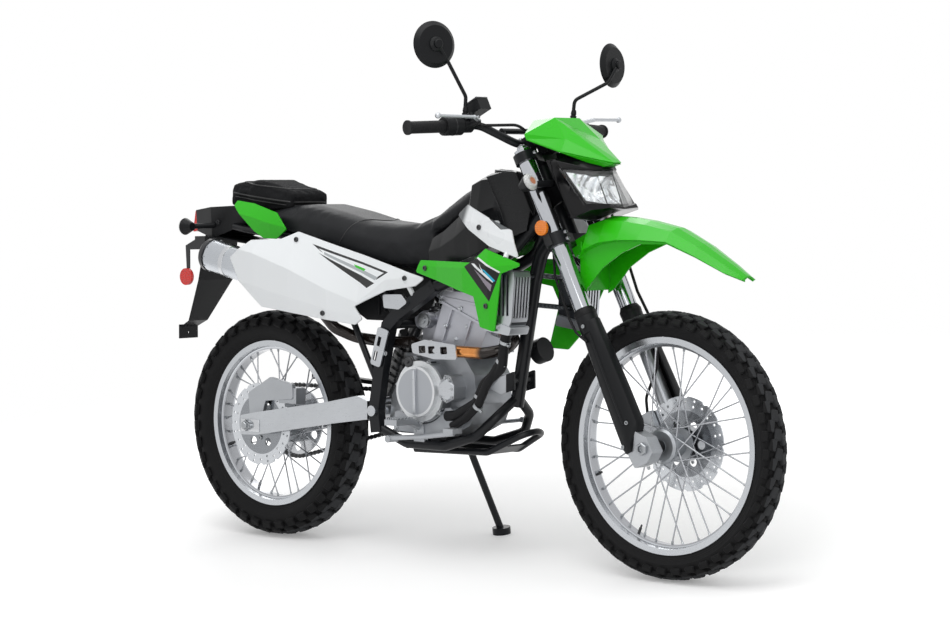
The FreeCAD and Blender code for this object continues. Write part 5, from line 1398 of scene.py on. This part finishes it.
class LAMP_OT_headlight(bpy.types.Operator):
    """Cowl trimmed to the lens, its fluted bowl, bulb shield and lens rims."""

    bl_idname = "motorcycle.headlight"
    bl_label = "Headlight"

    def execute(self, context):
        self.add_cowl()
        self.add_bowl()
        shield = turned("bulb_shield", (9, 0), (9, 14), (13, 15), (13, 22), (10, 25), (4, 26), sides=28)
        fit_at(shield, facing(on_fork(136, 0, 1046), FORK_AHEAD), "steering", finish_reflector)
        rims = (("lens_top_rim", ((134, 112.5, 1131), (189, 43, 1098.5), (207, 0, 1089))),
                ("lens_low_rim", ((161, 104.5, 1012), (187, 44.5, 990), (199, 0, 982))))
        for side, mark in ((-1, "r1"), (1, "1")):
            for name, line in rims:
                path = [Vector(a).lerp(Vector(b), share) for a, b in zip(line, line[1:])
                        for share in (0.04, 0.5, 0.96)]
                points = [on_fork(n, side * y, s) for n, y, s in path]
                fit(tube(name, points, 2.2), f"{name}_{mark}", "steering", finish_cowl)
        return {"FINISHED"}

    def add_cowl(self):
        """The cowl with its sides cut back to the wrapped lens."""
        cowl = linked("headlight_cowl", NODES["headlight_shell"].data.copy())
        cowl.data.transform(UPRIGHT)
        edit()
        merge()
        proud = 3
        for side in (-1, 1):
            a, b, c = [on_fork(n + proud, side * y, s)
                       for n, y, s in ((132, 112, 1132), (160, 104, 1012), (188, 42, 1098))]
            way = (b - a).cross(c - a).normalized()
            if way.x < 0:
                way = -way
            bpy.ops.mesh.select_all(action="SELECT")
            bpy.ops.mesh.bisect(plane_co=a, plane_no=way, use_fill=True, clear_outer=True)
        leave_edit()
        fit(cowl, "headlight_cowl", "steering", finish_cowl)
        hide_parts("headlight_shell")

    def add_bowl(self):
        """Fluted bowl just behind the lens."""
        clear()
        bpy.ops.mesh.primitive_grid_add(x_subdivisions=28, y_subdivisions=18, size=2)
        bowl = bpy.context.object
        for vertex in bowl.data.vertices:
            u, v = vertex.co.x, (vertex.co.y + 1) / 2
            half = 97 - 6 * (1 - v)
            low = 1001 + 20 * abs(u) ** 1.5
            high = 1080 + 38 * abs(u) ** 1.5
            lens_n = 196 - 52 * abs(u) ** 1.4
            deep = (1 - u * u) * 4 * v * (1 - v)
            vertex.co = on_fork(lens_n - 10 - 56 * deep ** 0.8, u * half, low + (high - low) * v)
        only(bowl)
        edit()
        leave_edit(outwards=True)
        fit(bowl, "headlight_bowl", "steering", finish_reflector, 60)


class TYRE_OT_tread(bpy.types.Operator):
    """Tyres with a rounded carcass, staggered blocks and shoulder blocks."""

    bl_idname = "motorcycle.tyres"
    bl_label = "Tyres"

    # Rows of blocks: lean from the crown, shift round the tyre, width, length and turn
    ROWS = ((0.2, 0.0, 0.27, 0.6, 0.25), (0.62, 0.5, 0.22, 0.62, 0.25), (1.12, 0.0, 0.2, 0.56, 0.12))

    def execute(self, context):
        self.add_tyre(FRONT, finish_front_tyre)
        self.add_tyre(REAR, finish_rear_tyre)
        return {"FINISHED"}

    def section(self, wheel, turn):
        """Point (y, distance from the axle) on the carcass at an angle from the crown."""
        top = wheel.z - 10
        middle = wheel.rim_r + (top - wheel.rim_r) * 0.42
        y = (wheel.tyre_w / 2 - 6) * math.sin(turn) ** 0.9
        return y, middle + (top - middle) * max(math.cos(turn), 0) ** 0.75

    def carcass(self, wheel):
        """The tyre without its blocks, spun round the axle."""
        rim_r, rim_y = wheel.rim_r, wheel.rim_w / 2
        half = [self.section(wheel, math.radians(9 * i)) for i in range(11)]
        half += [(wheel.tyre_w / 2 - 8, rim_r + 22), (rim_y + 1, rim_r + 8), (rim_y - 3, rim_r + 0.5)]
        outline = [(-y, r) for y, r in reversed(half)] + half[1:]
        outline += [(rim_y - 10, rim_r + 4), (10 - rim_y, rim_r + 4)]
        count = len(outline)
        mesh = bpy.data.meshes.new(wheel.end)
        mesh.from_pydata([at(0, y, r) for y, r in outline], [(i, (i + 1) % count) for i in range(count)], [])
        tyre = linked(wheel.end + "_tyre_tread", mesh)
        edit()
        bpy.ops.mesh.spin(steps=120, angle=2 * math.pi, center=(0, 0, 0), axis=(0, 1, 0))
        bpy.ops.mesh.select_all(action="SELECT")
        merge()
        leave_edit(outwards=True)
        return tyre

    def add_tyre(self, wheel, finish):
        """The carcass with its rows of blocks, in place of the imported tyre."""
        parts = [self.carcass(wheel)]
        step = 2 * math.pi / wheel.blocks
        pitch = step * wheel.z
        for lean, shift, wide, long, skew in self.ROWS:
            y, reach = self.section(wheel, lean)
            model = block("tread_block", pitch * long, wheel.tyre_w * wide, 13, 2.6, 1)
            places = []
            for side in (-1, 1):
                lug = (Matrix.Translation(at(0, side * y, reach - 4))
                       @ Matrix.Rotation(-side * lean * 0.92, 4, "X")
                       @ Matrix.Rotation(side * skew, 4, "Z"))
                start = shift + (0.25 if side > 0 else 0)
                places += [Matrix.Rotation((i + start) * step, 4, "Y") @ lug for i in range(wheel.blocks)]
            parts.append(repeated(model, places))
        tyre = joined(*parts)
        tyre.data.transform(Matrix.Translation(at(wheel.x, 0, wheel.z)))
        fit(tyre, tyre.name, wheel.end + "_wheel", finish, 35)
        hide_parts(wheel.end + "_tyre")


class GUARD_OT_fork(bpy.types.Operator):
    """Smooth wrapped fork guards with a raised rib, clamp collar and bolts."""

    bl_idname = "motorcycle.fork_guards"
    bl_label = "Fork guards"

    # The wrapped half section, as (n, y) from the leg's middle with y in shares of its width
    SECTION = ((-31, 0.25), (-27, 0.62), (-16, 0.93), (6, 1.02), (28, 0.95), (45, 0.66), (50, 0.24),
               (48, -0.2))
    # Height s, size of the section there, and the share of it that stands ahead of the leg
    LEVELS = ((368, 0.82, 0.0), (372, 0.94, 0.1), (384, 1.0, 0.28), (402, 1.0, 0.55), (420, 1.0, 0.9),
              (436, 1.0, 1.0), (530, 0.96, 1.0), (650, 0.85, 1.0), (728, 0.74, 1.0), (732, 0.71, 1.0))
    HALF_WIDTH = 34
    WALL = 0.87

    def execute(self, context):
        parts = []
        bolts = []
        for side in (-1, 1):
            parts.append(self.shell(side))
            collar = turned("guard_collar", (27, 0), (29.5, 2), (29.5, 54), (28, 58), (24.5, 58), sides=40)
            collar.data.transform(facing(on_fork(LEG_N, side * LEG_Y, 701), FORK_UP))
            parts.append(collar)
            ridge = [on_fork(LEG_N + 12 * grow, side * (LEG_Y + 34.5 * grow), s)
                     for s, grow in ((440, 1.0), (560, 0.94), (640, 0.87), (700, 0.8))]
            parts.append(tube("guard_ridge", ridge, 3.4))
            for n, y, s in ((12, 128, 388), (50, 128, 440), (30, 127, 722)):
                bolts.append(facing(on_fork(n, side * y, s), sideways(side)))
        guards = fit(joined(*parts), "fork_guard_shells", "steering", finish_black_plastic, 40)
        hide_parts("fork_guards")
        fit_each(round_bolt("guard_bolts", 5.5, 4), bolts, "steering", finish_bolt)
        self.add_axle_ends()
        return {"FINISHED"}

    def shell(self, side):
        """Half wrapped shell from its rounded foot to the collar."""
        points = []
        for s, grow, front in self.LEVELS:
            ring = [(n * grow * (front if n > 0 else 1), w * grow) for n, w in self.SECTION]
            outer = [(LEG_N + n, side * (LEG_Y + self.HALF_WIDTH * w)) for n, w in ring]
            inner = [(LEG_N + n * self.WALL, side * (LEG_Y + self.HALF_WIDTH * w * self.WALL))
                     for n, w in reversed(ring)]
            points += [on_fork(n, y, s) for n, y in outer + inner]
        size = 2 * len(self.SECTION)
        last = (len(self.LEVELS) - 1) * size
        faces = []
        for row in range(0, last, size):
            for i in range(size):
                a, b = row + i, row + (i + 1) % size
                faces.append((a, b, b + size, a + size))
        for i in range(len(self.SECTION) - 1):
            for end in (0, last):
                faces.append((end + i, end + i + 1, end + size - 2 - i, end + size - 1 - i))
        mesh = bpy.data.meshes.new("guard")
        mesh.from_pydata(points, [], faces)
        piece = linked("guard_shell", mesh)
        edit()
        leave_edit(outwards=True)
        return piece

    def add_axle_ends(self):
        """Dust seals beside the hub, the axle nut and the pinch bolts of both feet."""
        seals = [facing(on_fork(AXLE_N, y, AXLE_S), sideways(-side)) for side, y in ((-1, -73), (1, 76))]
        pinch = [facing(on_fork(n, side * 96, 318), -FORK_UP) for side in (-1, 1) for n in (40, 80)]
        seal = turned("hub_seals", (19, 0), (22, 2), (22, 10), (20, 12), (15.4, 12), sides=36)
        fit_each(seal, seals, "steering", finish_rubber)
        fit_each(hex_bolt("axle_pinch_bolts", 5.5, 7), pinch, "steering", finish_bolt)
        nut = turned("front_axle_nut", (17, -4), (17, 5), (15, 7), (11, 7), (9.5, 3), (9.5, -2), sides=6)
        fit_at(nut, facing(on_fork(AXLE_N, -124, AXLE_S), sideways(-1)), "steering", finish_bolt)


class BAR_OT_fittings(bpy.types.Operator):
    """Brake reservoir cap, lever pivots, mirror boots and joints, switches and instrument face."""

    bl_idname = "motorcycle.bar_fittings"
    bl_label = "Handlebar fittings"

    def execute(self, context):
        n, y, s = 10, -188, 1388
        cap = block("reservoir_cap", 46, 46, 5, 1.6)
        fit_at(cap, Matrix.Translation(on_fork(n, y, s)) @ FORK_TURN, "steering", finish_dark_bolt)
        screws = [facing(on_fork(n + ahead, y + beside, s + 5), FORK_UP)
                  for ahead in (-17, 17) for beside in (-17, 17)]
        fit_each(round_bolt("reservoir_screws", 3, 2), screws, "steering", finish_bolt)
        pivots = [facing(on_fork(16, side * 214, 1338), FORK_UP) for side in (-1, 1)]
        fit_each(hex_bolt("lever_pivots", 6.5, 5), pivots, "steering", finish_bolt)
        boots = [facing(on_fork(-16, side * 228, 1349), Vector((0.1, side * 0.035, 1)).normalized())
                 for side in (-1, 1)]
        boot = turned("mirror_boots", (10, 0), (10, 8), (7.5, 9), (7.5, 12), (9, 13), (9, 17), (7, 18),
                      (7, 21), (8, 22), (7, 30), (5.6, 34), sides=20)
        fit_each(boot, boots, "steering", finish_rubber)
        joints = []
        for x, y, z, yaw in ((900, -330, 1395, -19), (975, 330, 1358, 6)):
            yaw = math.radians(yaw)
            way = Vector((math.cos(yaw), math.sin(yaw), 0.06)).normalized()
            joints.append(facing(at(x, y, z) + way * 0.0125, way))
        joint = turned("mirror_joints", (20, -2), (20, 2), (15, 6), (12, 7), (12, 14), (10, 16), sides=32)
        fit_each(joint, joints, "steering", finish_black_plastic)
        self.add_switches()
        self.add_instrument()
        return {"FINISHED"}

    def add_switches(self):
        """Stop and starter buttons on the right, lamp, horn and signal switches on the left."""
        back = (on_fork(-100, 0, 60) - on_fork(0, 0, 0)).normalized()
        rocker = block("stop_switch", 18, 12, 8, 2.5)
        fit_at(rocker, facing(on_fork(-44, -262, 1358), back), "steering", finish_red)
        keys = [facing(on_fork(-46, y, s), back)
                for y, s in ((-262, 1336), (256, 1356), (276, 1348), (262, 1332))]
        key = turned("switch_keys", (8, -2), (8, 7), (6.5, 9), (2, 9), sides=20)
        fit_each(key, keys, "steering", finish_rubber)
        seams = []
        for side in (-1, 1):
            start, end = on_fork(-30.6, side * 241, 1337.4), on_fork(-39.8, side * 289.5, 1340)
            seams.append(facing(start.lerp(end, 0.5), (end - start).normalized()))
        seam = turned("switch_seams", (24, -1), (25.6, -1), (25.6, 1), (24, 1), sides=40)
        fit_each(seam, seams, "steering", finish_dark_bolt)

    def add_instrument(self):
        """Bezel, dark display and two keys on the instrument box."""
        place = Matrix.Translation(on_fork(70, 0, 1285)) @ FORK_TURN
        fit_at(block("instrument_bezel", 52, 108, 5, 2), place, "steering", finish_black_plastic)
        ahead = Matrix.Translation(at(3, 0, 0))
        fit_at(block("instrument_face", 34, 82, 6.4, 1.2), place @ ahead, "steering", finish_display)
        keys = [place @ Matrix.Translation(at(-20, y, 4)) for y in (-24, 24)]
        key = turned("instrument_keys", (5, 0), (5, 2.5), (3.5, 3.5), sides=20)
        fit_each(key, keys, "steering", finish_rubber)


class TAIL_OT_fittings(bpy.types.Operator):
    """Muffler bands and outlet, fuel cap face, peg teeth, axle nuts and chain adjusters."""

    bl_idname = "motorcycle.tail_fittings"
    bl_label = "Muffler, tank and axle fittings"

    def execute(self, context):
        self.add_muffler_parts()
        cap = turned("fuel_cap_face", (31, -1), (31, 1), (28, 3), (21, 3.5), (19, 2), (12, 2), (11, 4.5),
                     (4, 5), sides=40)
        tank_up = Vector((0.12, 0, 1)).normalized()
        fit_at(cap, facing(at(872, 0, 1064), tank_up), "chassis", finish_dark_bolt)
        teeth = [Matrix.Translation(at(x, side * y, 387)) for side in (-1, 1)
                 for x in (630, 638, 646, 654, 662, 670) for y in (164, 178, 192, 206, 220)]
        fit_each(block("peg_teeth", 4, 7, 6, 1, 1), teeth, "chassis", finish_bolt)
        self.add_axle_parts()
        return {"FINISHED"}

    def add_muffler_parts(self):
        """The outlet, two bands and a ring of rivets on the can."""
        front, rear = at(262, -150, 737), at(-132, -150, 823)
        way = (rear - front).normalized()
        end = turned("muffler_end", (46, -12), (48.5, -11), (48.5, 0), (45, 5), (36, 9), (34, 6), (18, 6),
                     (18, 18), (16.5, 19), (15, 18), (15, 2), sides=48)
        fit_at(end, facing(rear, way), "chassis", finish_dark_bolt)
        bands = [facing(front.lerp(rear, share), way) for share in (0.12, 0.78)]
        band = turned("muffler_bands", (47, -8), (48.6, -7), (48.6, 7), (47, 8), sides=48)
        fit_each(band, bands, "chassis", finish_steel)
        seat = facing(at(47.2, 0, 0), Vector((1, 0, 0)))
        rivets = [facing(rear - way * 0.02, way) @ Matrix.Rotation(math.tau * i / 10, 4, "Z") @ seat
                  for i in range(10)]
        fit_each(round_bolt("muffler_rivets", 2.6, 1.6), rivets, "chassis", finish_bolt)

    def add_axle_parts(self):
        """The rear axle's nuts on their plates, and the chain adjusters in the swingarm's ends."""
        arm = NODES["swingarm"]
        nuts, plates, adjusters = [], [], []
        for side in (-1, 1):
            place = touch(arm, at(27, side * FAR_OUT, REAR.z), sideways(-side))[0]
            nuts.append(facing(at(0, place.y * 1000, REAR.z), sideways(side)))
            plates.append(nuts[-1] @ Matrix.Translation(at(-side * 8, 0, -0.5)))
            place, out = touch(arm, at(-300, side * 104, REAR.z), Vector((1, 0, 0)))
            adjusters.append(facing(place - out * 0.001, out))
        fit_each(block("adjuster_plates", 74, 36, 3, 1.2), plates, "chassis", finish_steel)
        fit_each(hex_bolt("chain_adjusters", 6.5, 9), adjusters, "chassis", finish_bolt)
        nut = turned("rear_axle_nuts", (17, 0), (17, 12), (15, 15), (11, 15), (11, 20), (9, 22), sides=6)
        fit_each(nut, nuts, "chassis", finish_bolt)


OPERATORS = [STAGE_OT_build, FINISH_OT_apply, SEAT_OT_cover, BAG_OT_tool, BOLT_OT_panels, ENGINE_OT_fittings,
             WHEEL_OT_fittings, CHAIN_OT_links, FORK_OT_fittings, LAMP_OT_headlight, TYRE_OT_tread,
             GUARD_OT_fork, BAR_OT_fittings, TAIL_OT_fittings]


class MOTORCYCLE_PT_panel(bpy.types.Panel):
    """Lists the steps that build the motorcycle."""

    bl_idname = "MOTORCYCLE_PT_panel"
    bl_label = "Motorcycle"
    bl_space_type = "VIEW_3D"
    bl_region_type = "UI"
    bl_category = "Motorcycle"

    def draw(self, context):
        for operator in OPERATORS:
            self.layout.operator(operator.bl_idname)
        for key in Sizes.__annotations__:
            self.layout.prop(context.scene.motorcycle_sizes, key)


CLASSES = [Sizes, *OPERATORS, MOTORCYCLE_PT_panel]


def register():
    for item in CLASSES:
        bpy.utils.register_class(item)
    bpy.types.Scene.motorcycle_sizes = bpy.props.PointerProperty(type=Sizes)


def unregister():
    del bpy.types.Scene.motorcycle_sizes
    for item in reversed(CLASSES):
        bpy.utils.unregister_class(item)


def corners(box):
    """Both corners of a box as plain lists of numbers."""
    return [[float(value) for value in corner] for corner in box]


def main():
    register()
    for operator in OPERATORS:
        group, step = operator.bl_idname.split(".")
        getattr(getattr(bpy.ops, group), step)()


if __name__ == "__main__":
    main()
